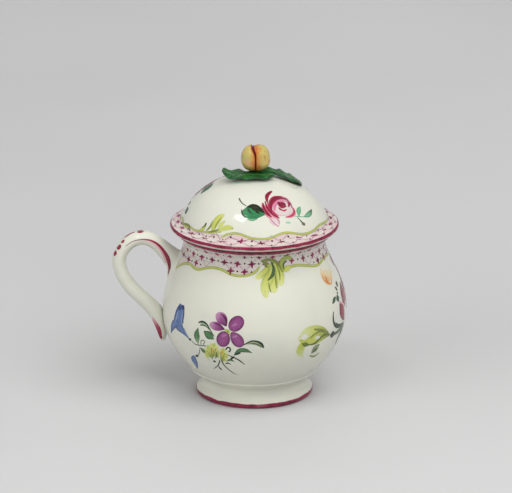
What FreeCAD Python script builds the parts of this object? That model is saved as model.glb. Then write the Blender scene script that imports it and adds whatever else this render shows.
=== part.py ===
import FreeCAD, Part

import math
import os

# A covered custard cup of thin glazed porcelain: a pear-shaped cup on a spreading foot ring,
# with a loop handle, and a domed cover that rests on the rim and ends in a cleft fruit on leaves.
# Each was joined while the clay was soft and fired as one piece, so there are two solids.
# Millimetres. +Z is up, the origin is the middle of the foot ring on the table, the handle is at -X.

Vector = FreeCAD.Vector
AXIS = Vector(0, 0, 1)
ORIGIN = Vector(0, 0, 0)

# Foot ring
FOOT_R = 20.0                 # widest, just above the table
FOOT_BULGE_Z = 1.0
FOOT_LAND_OUT_R = 19.0        # the flat ring that stands on the table
FOOT_LAND_IN_R = 17.2
FOOT_INNER_R = 16.2           # inner wall of the ring at the ceiling of the recess
FOOT_COVE = 1.2
RECESS_DEPTH = 3.4
WAIST_R = 18.1
WAIST_Z = 5.6

# Body of the cup
BEAD_R = 21.5                 # a fine turned line where the belly starts
BEAD_Z = 8.95
BEAD_STEP = 0.6
BEAD_PROUD = 0.28
BELLY_R = 31.3
BELLY_Z = 29.5
CUP_HEIGHT = 58.8
NECK_R = 23.9
NECK_DROP = 4.8               # the narrowest place of the neck below the rim
NECK_Z = CUP_HEIGHT - NECK_DROP
LIP_R = NECK_R + 2.6
LIP_THICKNESS = 1.9
LIP_LAND_OUT_R = LIP_R - 0.9  # the flat ring that carries the cover
LIP_LAND_IN_R = LIP_R - 2.2
BODY_WALL = 2.5
NECK_WALL = 2.2
FLOOR_Z = 6.8
FLOOR_FLAT_R = 7.0
LOWER_SLOPE = math.radians(47)    # how steeply the belly leaves the bead

# Handle: centre line and section, from the shoulder over the top and down to the free tip
HANDLE_REACH = 14.6           # outermost centre line beyond the belly
HANDLE_TOP_DROP = 4.2         # crown of the centre line below the rim
STRAP_THICK = 4.75
STRAP_WIDE = 6.6
ROOT_THICK = 10.5
ROOT_WIDE = 8.0
TIP_THICK = 1.3
TIP_WIDE = 1.8
TAIL_LENGTH = 10.9            # from the belly line down to the tip

# Cover
BRIM_OVERHANG = 2.1           # brim beyond the lip
BRIM_THICKNESS = 1.7
BRIM_RISE = 0.45              # the brim's top rises this much towards the dome
DOME_BASE_R = LIP_R - 1.5
DOME_BASE_RISE = 2.9          # foot of the dome above the rim
DOME_HEIGHT = 15.2            # from there to its crown
DOME_LEAN = math.radians(23)  # lean of the dome's side at its foot
DOME_WALL = 2.3
BEZEL_CLEARANCE = 0.6         # the locating ring clears the neck by this
BEZEL_THICK = 2.1
BEZEL_DEPTH = 3.8

# Finial
FRUIT_WIDE = 9.4
FRUIT_HIGH = 8.9
LOBE_R = 3.45                 # each of the two lobes, side to side
LOBE_DEEPEN = 1.24            # and this much rounder from front to back
FRUIT_LIFT = 1.6              # lowest point of the fruit above the dome
CALYX_R = 3.0
LEAF_THICK = 1.25
LEAF_DIP = 0.5                # depth of the fold along a leaf's middle
LEAF_HALF_WIDTH = 4.0
FRONT_LEAF = 10.4             # how far each leaf's tip lies from the axis
RIGHT_LEAF = 15.9
BACK_LEAF = 11.6


def point(r, z):
    return Vector(r, 0, z)


def line(a, b):
    return Part.makeLine(a, b)


def bezier(*poles):
    curve = Part.BezierCurve()
    curve.setPoles(list(poles))
    return curve.toShape()


def arc(a, middle, b):
    return Part.Arc(a, middle, b).toShape()


def turned(edges):
    """The solid swept by a closed outline turned about the axis."""
    face = Part.Face(Part.Wire(edges))
    return face.revolve(ORIGIN, AXIS, 360)


def slope(angle, length):
    return Vector(length * math.cos(angle), 0, length * math.sin(angle))


def belly_edges():
    """Lower and upper outer curves of the body, from the bead to the neck."""
    start = point(BEAD_R + BEAD_STEP * math.cos(LOWER_SLOPE), BEAD_Z + BEAD_STEP * math.sin(LOWER_SLOPE))
    widest = point(BELLY_R, BELLY_Z)
    neck = point(NECK_R, NECK_Z)
    rise = BELLY_Z - start.z
    climb = NECK_Z - BELLY_Z
    lower = bezier(start, start + slope(LOWER_SLOPE, 0.41 * rise), widest - AXIS * 0.42 * rise, widest)
    upper = bezier(widest, widest + AXIS * 0.47 * climb, neck - AXIS * 0.23 * climb, neck)
    return lower, upper


def cup_blank():
    """The cup's outside, solid up to the rim."""
    recess = point(FOOT_INNER_R - FOOT_COVE, RECESS_DEPTH)
    cove_end = point(FOOT_INNER_R, RECESS_DEPTH - FOOT_COVE)
    half_turn = math.pi / 4
    cove_middle = recess + Vector(FOOT_COVE * math.sin(half_turn), 0, FOOT_COVE * (math.cos(half_turn) - 1))
    land_in = point(FOOT_LAND_IN_R, 0)
    land_out = point(FOOT_LAND_OUT_R, 0)
    bulge = point(FOOT_R, FOOT_BULGE_Z)
    waist = point(WAIST_R, WAIST_Z)
    bead_low = point(BEAD_R, BEAD_Z)
    foot_rise = WAIST_Z - FOOT_BULGE_Z
    lower, upper = belly_edges()
    bead_high = lower.valueAt(lower.FirstParameter)
    outward = Vector(math.sin(LOWER_SLOPE), 0, -math.cos(LOWER_SLOPE))
    bead_top = (bead_low + bead_high) * 0.5 + outward * BEAD_PROUD
    neck = point(NECK_R, NECK_Z)
    lip_low = point(LIP_R - 0.6, CUP_HEIGHT - LIP_THICKNESS)
    lip_mid = point(LIP_R, CUP_HEIGHT - LIP_THICKNESS / 2)
    lip_high = point(LIP_LAND_OUT_R + 0.3, CUP_HEIGHT - 0.25)
    flare = lip_low.z - NECK_Z
    return turned([
        line(point(0, RECESS_DEPTH), recess),
        arc(recess, cove_middle, cove_end),
        line(cove_end, land_in),
        line(land_in, land_out),
        bezier(land_out, point(FOOT_R, 0), bulge),
        bezier(bulge, bulge + AXIS * 0.26 * foot_rise, waist - AXIS * 0.6 * foot_rise, waist),
        bezier(waist, waist + AXIS * 0.25 * foot_rise, bead_low - slope(LOWER_SLOPE, 1.6), bead_low),
        arc(bead_low, bead_top, bead_high),
        lower,
        upper,
        bezier(neck, neck + AXIS * 0.45 * flare, lip_low - slope(math.radians(35), 1.3), lip_low),
        arc(lip_low, lip_mid, lip_high),
        line(lip_high, point(LIP_LAND_OUT_R, CUP_HEIGHT)),
        line(point(LIP_LAND_OUT_R, CUP_HEIGHT), point(0, CUP_HEIGHT)),
        line(point(0, CUP_HEIGHT), point(0, RECESS_DEPTH)),
    ])


def cup_cavity():
    """What the cup holds: the outer curves moved in by the wall."""
    lower, upper = belly_edges()
    start = lower.valueAt(lower.FirstParameter)
    inward = Vector(-math.sin(LOWER_SLOPE), 0, math.cos(LOWER_SLOPE)) * BODY_WALL
    heel = start + inward
    widest = point(BELLY_R - BODY_WALL, BELLY_Z)
    neck = point(NECK_R - NECK_WALL, NECK_Z)
    rise = BELLY_Z - heel.z
    climb = NECK_Z - BELLY_Z
    floor_edge = point(FLOOR_FLAT_R, FLOOR_Z)
    rim = point(LIP_LAND_IN_R, CUP_HEIGHT)
    above = AXIS * BEZEL_DEPTH
    return turned([
        line(point(0, FLOOR_Z), floor_edge),
        bezier(floor_edge, (floor_edge + point(heel.x, FLOOR_Z)) * 0.5, heel - slope(LOWER_SLOPE, 4.2), heel),
        bezier(heel, heel + slope(LOWER_SLOPE, 0.41 * rise), widest - AXIS * 0.42 * rise, widest),
        bezier(widest, widest + AXIS * 0.45 * climb, neck - AXIS * 0.21 * climb, neck),
        bezier(neck, neck + AXIS * 0.6 * (CUP_HEIGHT - NECK_Z), rim - Vector(1.0, 0, 0), rim),
        line(rim, rim + above),
        line(rim + above, point(0, CUP_HEIGHT) + above),
        line(point(0, CUP_HEIGHT) + above, point(0, FLOOR_Z)),
    ])


def body_radius(z):
    """Outer radius of the body at a height between the bead and the neck."""
    lower, upper = belly_edges()
    edge = lower if z < BELLY_Z else upper
    low, high = edge.FirstParameter, edge.LastParameter
    for _ in range(40):
        middle = (low + high) / 2
        if edge.valueAt(middle).z < z:
            low = middle
        else:
            high = middle
    return edge.valueAt(low).x


def handle_stations():
    """(x, z, thickness in the handle's plane, width across it) of each section, from the shoulder down."""
    crown = CUP_HEIGHT - HANDLE_TOP_DROP
    out = BELLY_R + HANDLE_REACH
    drop = crown - BELLY_Z
    root_z = crown - 0.37 * drop
    low_z = BELLY_Z - 0.14 * TAIL_LENGTH
    mid_tail_z = BELLY_Z - 0.55 * TAIL_LENGTH
    tip_z = BELLY_Z - TAIL_LENGTH
    return [
        (1.4 - body_radius(root_z), root_z, ROOT_THICK, ROOT_WIDE),
        (-(out - 15.6), crown - 0.18 * drop, 1.22 * STRAP_THICK, 1.06 * STRAP_WIDE),
        (-(out - 12.2), crown - 0.06 * drop, 1.04 * STRAP_THICK, STRAP_WIDE),
        (-(out - 8.4), crown, STRAP_THICK, STRAP_WIDE),
        (-(out - 2.8), crown - 0.09 * drop, STRAP_THICK, STRAP_WIDE),
        (-out, crown - 0.33 * drop, STRAP_THICK, STRAP_WIDE),
        (-(out - 1.3), crown - 0.54 * drop, STRAP_THICK, STRAP_WIDE),
        (-(out - 4.3), crown - 0.72 * drop, 1.02 * STRAP_THICK, 0.98 * STRAP_WIDE),
        (-(out - 8.7), crown - 0.895 * drop, 1.04 * STRAP_THICK, 0.95 * STRAP_WIDE),
        (-(body_radius(low_z) + 2.5), low_z, 1.04 * STRAP_THICK, 0.9 * STRAP_WIDE),
        (-(body_radius(mid_tail_z) + 1.5), mid_tail_z, 0.83 * STRAP_THICK, 0.78 * STRAP_WIDE),
        (-(body_radius(tip_z) + 2.7), tip_z, TIP_THICK, TIP_WIDE),
    ]


def oval_section(centre, along, thick, wide):
    """A closed oval across the handle, thick in its plane and wide along Y."""
    across = Vector(-along.z, 0, along.x)
    half_thick, half_wide = thick / 2, wide / 2
    if half_wide > half_thick:
        major, minor, u, v = half_wide, half_thick, Vector(0, 1, 0), across
    else:
        major, minor, u, v = half_thick, half_wide, across, Vector(0, -1, 0)
    ellipse = Part.Ellipse(centre + u * major, centre + v * minor, centre)
    if half_wide > half_thick:
        return Part.Wire(ellipse.toShape(0, 2 * math.pi))
    return Part.Wire(ellipse.toShape(-math.pi / 2, 1.5 * math.pi))


def handle():
    """The loop and its free tail, as one skin through the oval sections."""
    stations = handle_stations()
    centres = [point(s[0], s[1]) for s in stations]
    sections = []
    for i, (x, z, thick, wide) in enumerate(stations):
        before = centres[max(i - 1, 0)]
        after = centres[min(i + 1, len(centres) - 1)]
        along = (after - before).normalize()
        sections.append(oval_section(centres[i], along, thick, wide))
    return Part.makeLoft(sections, True, False)


def cup():
    return cup_blank().fuse(handle()).cut(cup_cavity()).removeSplitter()


def dome_levels():
    base = point(DOME_BASE_R, CUP_HEIGHT + DOME_BASE_RISE)
    crown = point(0, CUP_HEIGHT + DOME_BASE_RISE + DOME_HEIGHT)
    return base, crown


def dome_edge():
    """Outer curve of the dome, from its foot to its crown."""
    base, crown = dome_levels()
    lean = Vector(-math.sin(DOME_LEAN), 0, math.cos(DOME_LEAN))
    return bezier(base, base + lean * 0.56 * DOME_HEIGHT, crown + Vector(0.545 * DOME_BASE_R, 0, 0), crown)


def dome_height_at(r):
    """Height of the dome's outside at a distance from the axis."""
    edge = dome_edge()
    low, high = edge.FirstParameter, edge.LastParameter
    for _ in range(40):
        middle = (low + high) / 2
        if edge.valueAt(middle).x > r:
            low = middle
        else:
            high = middle
    return edge.valueAt(low).z


def cover_shell():
    """Dome, brim and locating ring, turned as one."""
    base, crown = dome_levels()
    lean = Vector(-math.sin(DOME_LEAN), 0, math.cos(DOME_LEAN))
    brim_r = LIP_R + BRIM_OVERHANG
    brim_top = CUP_HEIGHT + BRIM_THICKNESS
    bezel_out = NECK_R - NECK_WALL - BEZEL_CLEARANCE
    bezel_in = bezel_out - BEZEL_THICK
    bezel_low = CUP_HEIGHT - BEZEL_DEPTH
    cove_end = point(DOME_BASE_R + 1.2, brim_top + BRIM_RISE)
    edge_high = point(brim_r - 0.7, brim_top)
    edge_mid = point(brim_r, CUP_HEIGHT + 0.5 * BRIM_THICKNESS)
    edge_low = point(brim_r - 0.6, CUP_HEIGHT)
    inner_base = base + Vector(-DOME_WALL - 0.2, 0, 0.3)
    inner_crown = crown - AXIS * DOME_WALL
    bezel_top = point(bezel_in, CUP_HEIGHT - 0.35 * BEZEL_DEPTH)
    ring_mid = point((bezel_in + bezel_out) / 2, bezel_low)
    round_up = AXIS * 0.45 * BEZEL_THICK
    return turned([
        dome_edge(),
        line(crown, inner_crown),
        bezier(inner_crown, inner_crown + Vector(0.49 * DOME_BASE_R, 0, 0),
               inner_base + lean * 0.45 * DOME_HEIGHT, inner_base),
        bezier(inner_base, inner_base - lean * 1.1, bezel_top + AXIS * 2.6, bezel_top),
        line(bezel_top, point(bezel_in, bezel_low) + round_up),
        arc(point(bezel_in, bezel_low) + round_up, ring_mid, point(bezel_out, bezel_low) + round_up),
        line(point(bezel_out, bezel_low) + round_up, point(bezel_out, CUP_HEIGHT)),
        line(point(bezel_out, CUP_HEIGHT), edge_low),
        arc(edge_low, edge_mid, edge_high),
        line(edge_high, cove_end),
        bezier(cove_end, cove_end - Vector(0.75, 0, 0), base - lean * 0.75, base),
    ])


def fruit_base():
    return dome_levels()[1].z + FRUIT_LIFT


def lobe(x):
    """One half of the fruit: an egg turned about its own upright, deepened from front to back."""
    low = Vector(0, 0, 0)
    widest = Vector(LOBE_R, 0, 0.44 * FRUIT_HIGH)
    top = Vector(0, 0, FRUIT_HIGH)
    outline = Part.Wire([
        bezier(low, low + Vector(0.62 * LOBE_R, 0, 0), widest - AXIS * 0.24 * FRUIT_HIGH, widest),
        bezier(widest, widest + AXIS * 0.3 * FRUIT_HIGH, top + Vector(0.55 * LOBE_R, 0, 0), top),
        line(top, low),
    ])
    egg = Part.Face(outline).revolve(ORIGIN, AXIS, 360)
    deepen = FreeCAD.Matrix()
    deepen.scale(1.0, LOBE_DEEPEN, 1.0)
    egg = egg.transformGeometry(deepen)
    egg.translate(Vector(x, 0, fruit_base()))
    return egg


def fruit():
    """Two lobes side by side, which leave the cleft between them."""
    aside = FRUIT_WIDE / 2 - LOBE_R
    return lobe(-aside).fuse(lobe(aside))


def calyx():
    """The short stalk between the dome and the fruit."""
    low = dome_height_at(CALYX_R) - 0.8 * DOME_WALL
    high = fruit_base() + 0.2 * FRUIT_HIGH
    return Part.makeCone(1.25 * CALYX_R, 0.7 * CALYX_R, high - low, Vector(0, 0, low), AXIS)


def leaf(reach, stations):
    """A folded leaf lofted along a bent middle line. Each station gives x and y as shares of the leaf's
    reach, the underside's lift over the dome, the share of the full half width, and how much higher the
    left edge lies than the right."""
    places = [(s[0] * reach, s[1] * reach) for s in stations]
    spine = [Vector(x, y, dome_height_at(math.hypot(x, y)) + s[2]) for (x, y), s in zip(places, stations)]
    sections = []
    for i, (_, _, _, width_share, bank) in enumerate(stations):
        run = spine[min(i + 1, len(spine) - 1)] - spine[max(i - 1, 0)]
        side = Vector(-run.y, run.x, 0).normalize() * LEAF_HALF_WIDTH * width_share
        edge = AXIS * (LEAF_DIP + 0.3 * LEAF_THICK)
        left = spine[i] + side + edge + AXIS * bank / 2
        right = spine[i] - side + edge - AXIS * bank / 2
        top = spine[i] + AXIS * LEAF_THICK
        sections.append(Part.Wire([arc(left, top, right), arc(right, spine[i], left)]))
    return Part.makeLoft(sections, True, False)


def leaves():
    """The broad leaf in front with its raised left end, the one that lies down the right, and one behind."""
    front = [(0.65, -0.29, 1.0, 0.22, 0.4), (0.31, -0.33, 0.3, 0.7, -0.6), (-0.14, -0.26, 0.3, 0.95, -1.2),
             (-0.58, -0.19, 0.9, 1.08, -1.2), (-0.87, -0.14, 2.1, 0.85, -1.2), (-0.99, -0.12, 3.1, 0.3, -0.6)]
    right = [(0.10, 0.06, 0.3, 0.40, 0), (0.36, 0.10, 1.2, 0.55, 0), (0.58, 0.15, 0.9, 0.76, 0),
             (0.78, 0.19, 0.6, 0.78, 0), (0.94, 0.23, 0.1, 0.48, 0), (1.0, 0.25, -0.4, 0.20, 0)]
    back = [(0.03, 0.14, 0.2, 0.50, 0), (-0.05, 0.41, 0.8, 0.90, 0), (-0.14, 0.72, 1.2, 0.85, 0),
            (-0.20, 0.98, 1.5, 0.22, 0)]
    return [leaf(FRONT_LEAF, front), leaf(RIGHT_LEAF, right), leaf(BACK_LEAF, back)]


def cover():
    finial = fruit().fuse([calyx()] + leaves())
    return cover_shell().fuse(finial).removeSplitter()


def save(name, shape):
    solids = shape.Solids
    print(name, "solids", len(solids), "valid", shape.isValid(), "volume", round(shape.Volume, 1),
          "box", [round(v, 2) for v in (shape.BoundBox.XMin, shape.BoundBox.XMax, shape.BoundBox.YMin,
                                        shape.BoundBox.YMax, shape.BoundBox.ZMin, shape.BoundBox.ZMax)])
    solids[0].exportStep("parts/" + name + ".step")


os.makedirs("parts", exist_ok=True)
save("cup", cup())
save("cover", cover())
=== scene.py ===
# %% [markdown]
# # A covered custard cup in painted porcelain
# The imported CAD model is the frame. It says where the foot stands, how high the rim is and how far
# the handle reaches. Everything here is in metres, in that same frame: +Z up, the handle at -X, and
# the side that faces the viewer at -Y. Small sizes are written in millimetres and multiplied by MM.

import random
from math import atan2, cos, degrees, dist, exp, hypot, pi, radians, sin, sqrt

import bpy
import numpy as np
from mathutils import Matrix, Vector, bvhtree


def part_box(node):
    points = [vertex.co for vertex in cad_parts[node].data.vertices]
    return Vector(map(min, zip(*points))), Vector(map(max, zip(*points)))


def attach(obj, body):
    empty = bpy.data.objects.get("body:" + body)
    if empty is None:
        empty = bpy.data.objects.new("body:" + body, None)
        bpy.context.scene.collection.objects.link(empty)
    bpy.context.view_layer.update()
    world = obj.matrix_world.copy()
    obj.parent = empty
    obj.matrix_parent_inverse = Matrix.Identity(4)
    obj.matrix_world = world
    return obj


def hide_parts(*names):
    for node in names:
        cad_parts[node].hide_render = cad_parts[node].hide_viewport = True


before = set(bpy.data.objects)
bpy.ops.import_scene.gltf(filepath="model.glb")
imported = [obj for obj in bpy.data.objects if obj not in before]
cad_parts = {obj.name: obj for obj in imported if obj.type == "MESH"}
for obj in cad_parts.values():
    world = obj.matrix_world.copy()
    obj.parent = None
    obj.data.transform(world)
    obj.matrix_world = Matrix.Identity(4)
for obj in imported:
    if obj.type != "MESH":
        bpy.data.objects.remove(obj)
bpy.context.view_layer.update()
MM = 0.001
cup_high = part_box("cup")[1]
cover_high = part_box("cover")[1]
RIM_Z = cup_high.z / MM
BELLY_R = cup_high.x / MM
BRIM_R = cover_high.x / MM
print(f"rim {RIM_Z:.2f} mm up, belly radius {BELLY_R:.2f} mm, brim radius {BRIM_R:.2f} mm")


# %% [markdown]
# ## Where the picture is taken from
# The cup was photographed from far away with a long lens, a little above its rim, so its upright
# lines stay upright. A camera 1.5 m away does the same. The lens follows from the scale: the
# pixels that one millimetre of the cup covers.

# %% Camera
PICTURE_WIDTH = 512
PIXELS_PER_MM = 2.95
CAMERA_AWAY = 1.5
CAMERA_UP = radians(18.5)
SENSOR_MM = 36.0
AIM = Vector((0.54 * MM, 0, 51.4 * MM))


def make_camera():
    data = bpy.data.cameras.new("camera")
    data.sensor_width = SENSOR_MM
    data.lens = SENSOR_MM * CAMERA_AWAY / (PICTURE_WIDTH / PIXELS_PER_MM * MM)
    data.clip_start, data.clip_end = 0.01, 50
    camera = bpy.data.objects.new("camera", data)
    bpy.context.scene.collection.objects.link(camera)
    camera.location = AIM + CAMERA_AWAY * Vector((0, -cos(CAMERA_UP), sin(CAMERA_UP)))
    camera.rotation_euler = (pi / 2 - CAMERA_UP, 0, 0)
    bpy.context.scene.camera = camera
    return camera


camera = make_camera()
print("lens", round(camera.data.lens), "mm")


# %% [markdown]
# ## Node trees in a few words
# A Geometry Nodes tree is easier to read when its sockets have names, so one helper makes a tree
# with named inputs and another runs it. The result is taken as a plain mesh and the modifier goes,
# so that what is left in the file is only the finished shape.

# %% Helpers for Geometry Nodes
def new_object(name, mesh):
    thing = bpy.data.objects.new(name, mesh)
    bpy.context.scene.collection.objects.link(thing)
    return thing


def new_tree(name, **inputs):
    """A tree with geometry in and out and the named inputs, each given as a socket type."""
    tree = bpy.data.node_groups.new(name, "GeometryNodeTree")
    tree.interface.new_socket("Geometry", in_out="INPUT", socket_type="NodeSocketGeometry")
    for label, kind in inputs.items():
        tree.interface.new_socket(label.replace("_", " "), in_out="INPUT", socket_type=kind)
    tree.interface.new_socket("Geometry", in_out="OUTPUT", socket_type="NodeSocketGeometry")
    return tree


class Wiring:
    """Adds nodes to a tree and joins them; a value that isn't a socket is set on the input."""

    def __init__(self, tree, grouped=True):
        self.tree = tree
        if grouped:
            self.start = tree.nodes.new("NodeGroupInput")
            self.end = tree.nodes.new("NodeGroupOutput")

    def given(self, label):
        return self.start.outputs[label]

    def add(self, kind, inputs=(), **settings):
        node = self.tree.nodes.new(kind)
        for key, value in settings.items():
            setattr(node, key, value)
        for key, value in dict(inputs).items():
            if isinstance(value, bpy.types.NodeSocket):
                self.tree.links.new(value, node.inputs[key])
            else:
                node.inputs[key].default_value = value
        return node

    def math(self, operation, a, b=0.0):
        return self.add("ShaderNodeMath", {0: a, 1: b}, operation=operation).outputs[0]

    def plus(self, a, b):
        return self.math("ADD", a, b)

    def minus(self, a, b):
        return self.math("SUBTRACT", a, b)

    def times(self, a, b):
        return self.math("MULTIPLY", a, b)

    def split(self, vector):
        """The three numbers of a vector."""
        return self.add("ShaderNodeSeparateXYZ", {0: vector}).outputs

    def finish(self, geometry, material):
        real = self.add("GeometryNodeRealizeInstances", {0: geometry})
        painted = self.add("GeometryNodeSetMaterial", {"Geometry": real.outputs[0], "Material": material})
        self.tree.links.new(painted.outputs[0], self.end.inputs[0])


def run_tree(thing, tree, **values):
    """Runs a tree on an object and leaves the result as the object's own plain mesh."""
    modifier = thing.modifiers.new(tree.name, "NODES")
    modifier.node_group = tree
    for item in tree.interface.items_tree:
        label = item.name.replace(" ", "_")
        if item.in_out == "INPUT" and label in values:
            modifier[item.identifier] = values[label]
    thing.update_tag()
    evaluated = thing.evaluated_get(bpy.context.evaluated_depsgraph_get())
    mesh = bpy.data.meshes.new_from_object(evaluated)
    thing.modifiers.remove(modifier)
    thing.data = mesh
    return thing


def triangles(mesh):
    return sum(len(face.vertices) - 2 for face in mesh.polygons)


# %% [markdown]
# ## The outline that the potter's template cuts
# Porcelain of this kind is thrown and then turned on a lathe, so its whole shape is one outline.
# The outline is drawn here with the same curves as in the CAD, as a list of (radius, height) in
# millimetres. It starts at the axis under the foot, goes up the outside, over the lip and down
# inside to the axis again.

# %% Curves of an outline
def bezier(a, b, c, d=None, steps=12):
    t = np.linspace(0, 1, steps + 1)[:, None]
    a, b, c = (np.array(p, float) for p in (a, b, c))
    if d is None:
        return (1 - t) ** 2 * a + 2 * t * (1 - t) * b + t**2 * c
    d = np.array(d, float)
    return (1 - t) ** 3 * a + 3 * t * (1 - t) ** 2 * b + 3 * t**2 * (1 - t) * c + t**3 * d


def arc(a, middle, b, steps=8):
    """A round arc through three points."""
    a, m, b = (complex(*p) for p in (a, middle, b))
    w = (b - a) / (m - a)
    centre = a + (b - a) * (w - abs(w) ** 2) / (w - w.conjugate()) / w if abs(w.imag) > 1e-9 else (a + b) / 2
    radius = abs(a - centre)
    first, last = np.angle(a - centre), np.angle(b - centre)
    middle_turn = (np.angle(m - centre) - first) % (2 * pi)
    turn = (last - first) % (2 * pi)
    if middle_turn > turn:
        turn -= 2 * pi
    angles = first + turn * np.linspace(0, 1, steps + 1)
    return np.stack([centre.real + radius * np.cos(angles), centre.imag + radius * np.sin(angles)], 1)


def chain(*pieces):
    """Joins pieces of an outline end to end, leaving out repeated points."""
    points = np.vstack([np.atleast_2d(np.array(p, float)) for p in pieces])
    keep = np.r_[True, np.hypot(*np.diff(points, axis=0).T) > 1e-6]
    return points[keep]


def along(angle, length):
    return np.array([length * cos(angle), length * sin(angle)])


# %% The cup's outline
FOOT_R = 20.0
FOOT_BULGE_Z = 1.0
FOOT_LAND_OUT_R = 19.0
FOOT_LAND_IN_R = 17.2
FOOT_INNER_R = 16.2
FOOT_COVE = 1.2
RECESS_DEPTH = 3.4
WAIST = np.array([18.1, 5.6])
BEAD_LOW = np.array([21.5, 8.95])
BEAD_STEP = 0.6
BEAD_PROUD = 0.28
LOWER_SLOPE = radians(47)
BELLY_Z = 29.5
NECK_R = 23.9
NECK_Z = RIM_Z - 4.8
LIP_R = NECK_R + 2.6
LIP_THICKNESS = 1.9
LIP_LAND_OUT_R = LIP_R - 0.9
LIP_LAND_IN_R = LIP_R - 2.2
BODY_WALL = 2.5
NECK_WALL = 2.2
FLOOR_Z = 6.8
FLOOR_FLAT_R = 7.0
UP = np.array([0.0, 1.0])
OUT = np.array([1.0, 0.0])


def cup_outside():
    bead_high = BEAD_LOW + along(LOWER_SLOPE, BEAD_STEP)
    outward = np.array([sin(LOWER_SLOPE), -cos(LOWER_SLOPE)])
    bead_top = (BEAD_LOW + bead_high) / 2 + outward * BEAD_PROUD
    bulge = np.array([FOOT_R, FOOT_BULGE_Z])
    widest = np.array([BELLY_R, BELLY_Z])
    neck = np.array([NECK_R, NECK_Z])
    foot_rise = WAIST[1] - FOOT_BULGE_Z
    rise = BELLY_Z - bead_high[1]
    climb = NECK_Z - BELLY_Z
    lip_low = np.array([LIP_R - 0.6, RIM_Z - LIP_THICKNESS])
    lip_high = np.array([LIP_LAND_OUT_R + 0.3, RIM_Z - 0.25])
    flare = lip_low[1] - NECK_Z
    return chain(
        bezier((FOOT_LAND_OUT_R, 0), (FOOT_R, 0), bulge, steps=8),
        bezier(bulge, bulge + UP * 0.26 * foot_rise, WAIST - UP * 0.6 * foot_rise, WAIST, steps=14),
        bezier(WAIST, WAIST + UP * 0.25 * foot_rise, BEAD_LOW - along(LOWER_SLOPE, 1.6), BEAD_LOW, steps=12),
        arc(BEAD_LOW, bead_top, bead_high, steps=8),
        bezier(bead_high, bead_high + along(LOWER_SLOPE, 0.41 * rise), widest - UP * 0.42 * rise, widest,
               steps=40),
        bezier(widest, widest + UP * 0.47 * climb, neck - UP * 0.23 * climb, neck, steps=44),
        bezier(neck, neck + UP * 0.45 * flare, lip_low - along(radians(35), 1.3), lip_low, steps=12),
        arc(lip_low, (LIP_R, RIM_Z - LIP_THICKNESS / 2), lip_high, steps=10),
        (LIP_LAND_OUT_R, RIM_Z),
    )


def cup_inside():
    heel = BEAD_LOW + along(LOWER_SLOPE, BEAD_STEP)
    heel = heel + np.array([-sin(LOWER_SLOPE), cos(LOWER_SLOPE)]) * BODY_WALL
    widest = np.array([BELLY_R - BODY_WALL, BELLY_Z])
    neck = np.array([NECK_R - NECK_WALL, NECK_Z])
    rim = np.array([LIP_LAND_IN_R, RIM_Z])
    rise = BELLY_Z - heel[1]
    climb = NECK_Z - BELLY_Z
    floor_edge = np.array([FLOOR_FLAT_R, FLOOR_Z])
    bend = (floor_edge + np.array([heel[0], FLOOR_Z])) / 2
    return chain(
        bezier(rim, rim - OUT, neck + UP * 0.6 * (RIM_Z - NECK_Z), neck, steps=10),
        bezier(neck, neck - UP * 0.21 * climb, widest + UP * 0.45 * climb, widest, steps=20),
        bezier(widest, widest - UP * 0.42 * rise, heel + along(LOWER_SLOPE, 0.41 * rise), heel, steps=20),
        bezier(heel, heel - along(LOWER_SLOPE, 4.2), bend, floor_edge, steps=12),
        (0, FLOOR_Z),
    )


def cup_under():
    cove = np.array([FOOT_INNER_R, RECESS_DEPTH - FOOT_COVE])
    recess = np.array([FOOT_INNER_R - FOOT_COVE, RECESS_DEPTH])
    half = pi / 4
    middle = recess + FOOT_COVE * np.array([sin(half), cos(half) - 1])
    return chain((0, RECESS_DEPTH), (8, RECESS_DEPTH), arc(recess, middle, cove, steps=8),
                 (FOOT_LAND_IN_R, 0))


CUP_OUTSIDE = cup_outside()
CUP_OUTLINE = chain(cup_under(), CUP_OUTSIDE, cup_inside())
print("cup outline:", len(CUP_OUTLINE), "points")


# %% The cover's outline
BRIM_THICKNESS = 1.7
BRIM_RISE = 0.45
DOME_BASE_R = LIP_R - 1.5
DOME_BASE_Z = RIM_Z + 2.9
DOME_HEIGHT = 15.2
DOME_TOP_Z = DOME_BASE_Z + DOME_HEIGHT
DOME_LEAN = radians(23)
DOME_WALL = 2.3
BEZEL_OUT_R = NECK_R - NECK_WALL - 0.6
BEZEL_IN_R = BEZEL_OUT_R - 2.1
BEZEL_DEPTH = 3.8


def cover_outside():
    """From the edge of the brim, underneath, to the crown of the dome."""
    base = np.array([DOME_BASE_R, DOME_BASE_Z])
    crown = np.array([0, DOME_TOP_Z])
    lean = np.array([-sin(DOME_LEAN), cos(DOME_LEAN)])
    brim_top = RIM_Z + BRIM_THICKNESS
    cove_end = np.array([DOME_BASE_R + 1.2, brim_top + BRIM_RISE])
    edge_low = (BRIM_R - 0.6, RIM_Z)
    edge_high = (BRIM_R - 0.7, brim_top)
    return chain(
        arc(edge_low, (BRIM_R, RIM_Z + 0.5 * BRIM_THICKNESS), edge_high, steps=12),
        bezier(edge_high, (np.array(edge_high) + cove_end) / 2, cove_end, steps=6),
        bezier(cove_end, cove_end - OUT * 0.75, base - lean * 0.75, base, steps=10),
        bezier(base, base + lean * 0.51 * DOME_HEIGHT, crown + OUT * 0.52 * DOME_BASE_R, crown, steps=56),
    )


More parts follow.
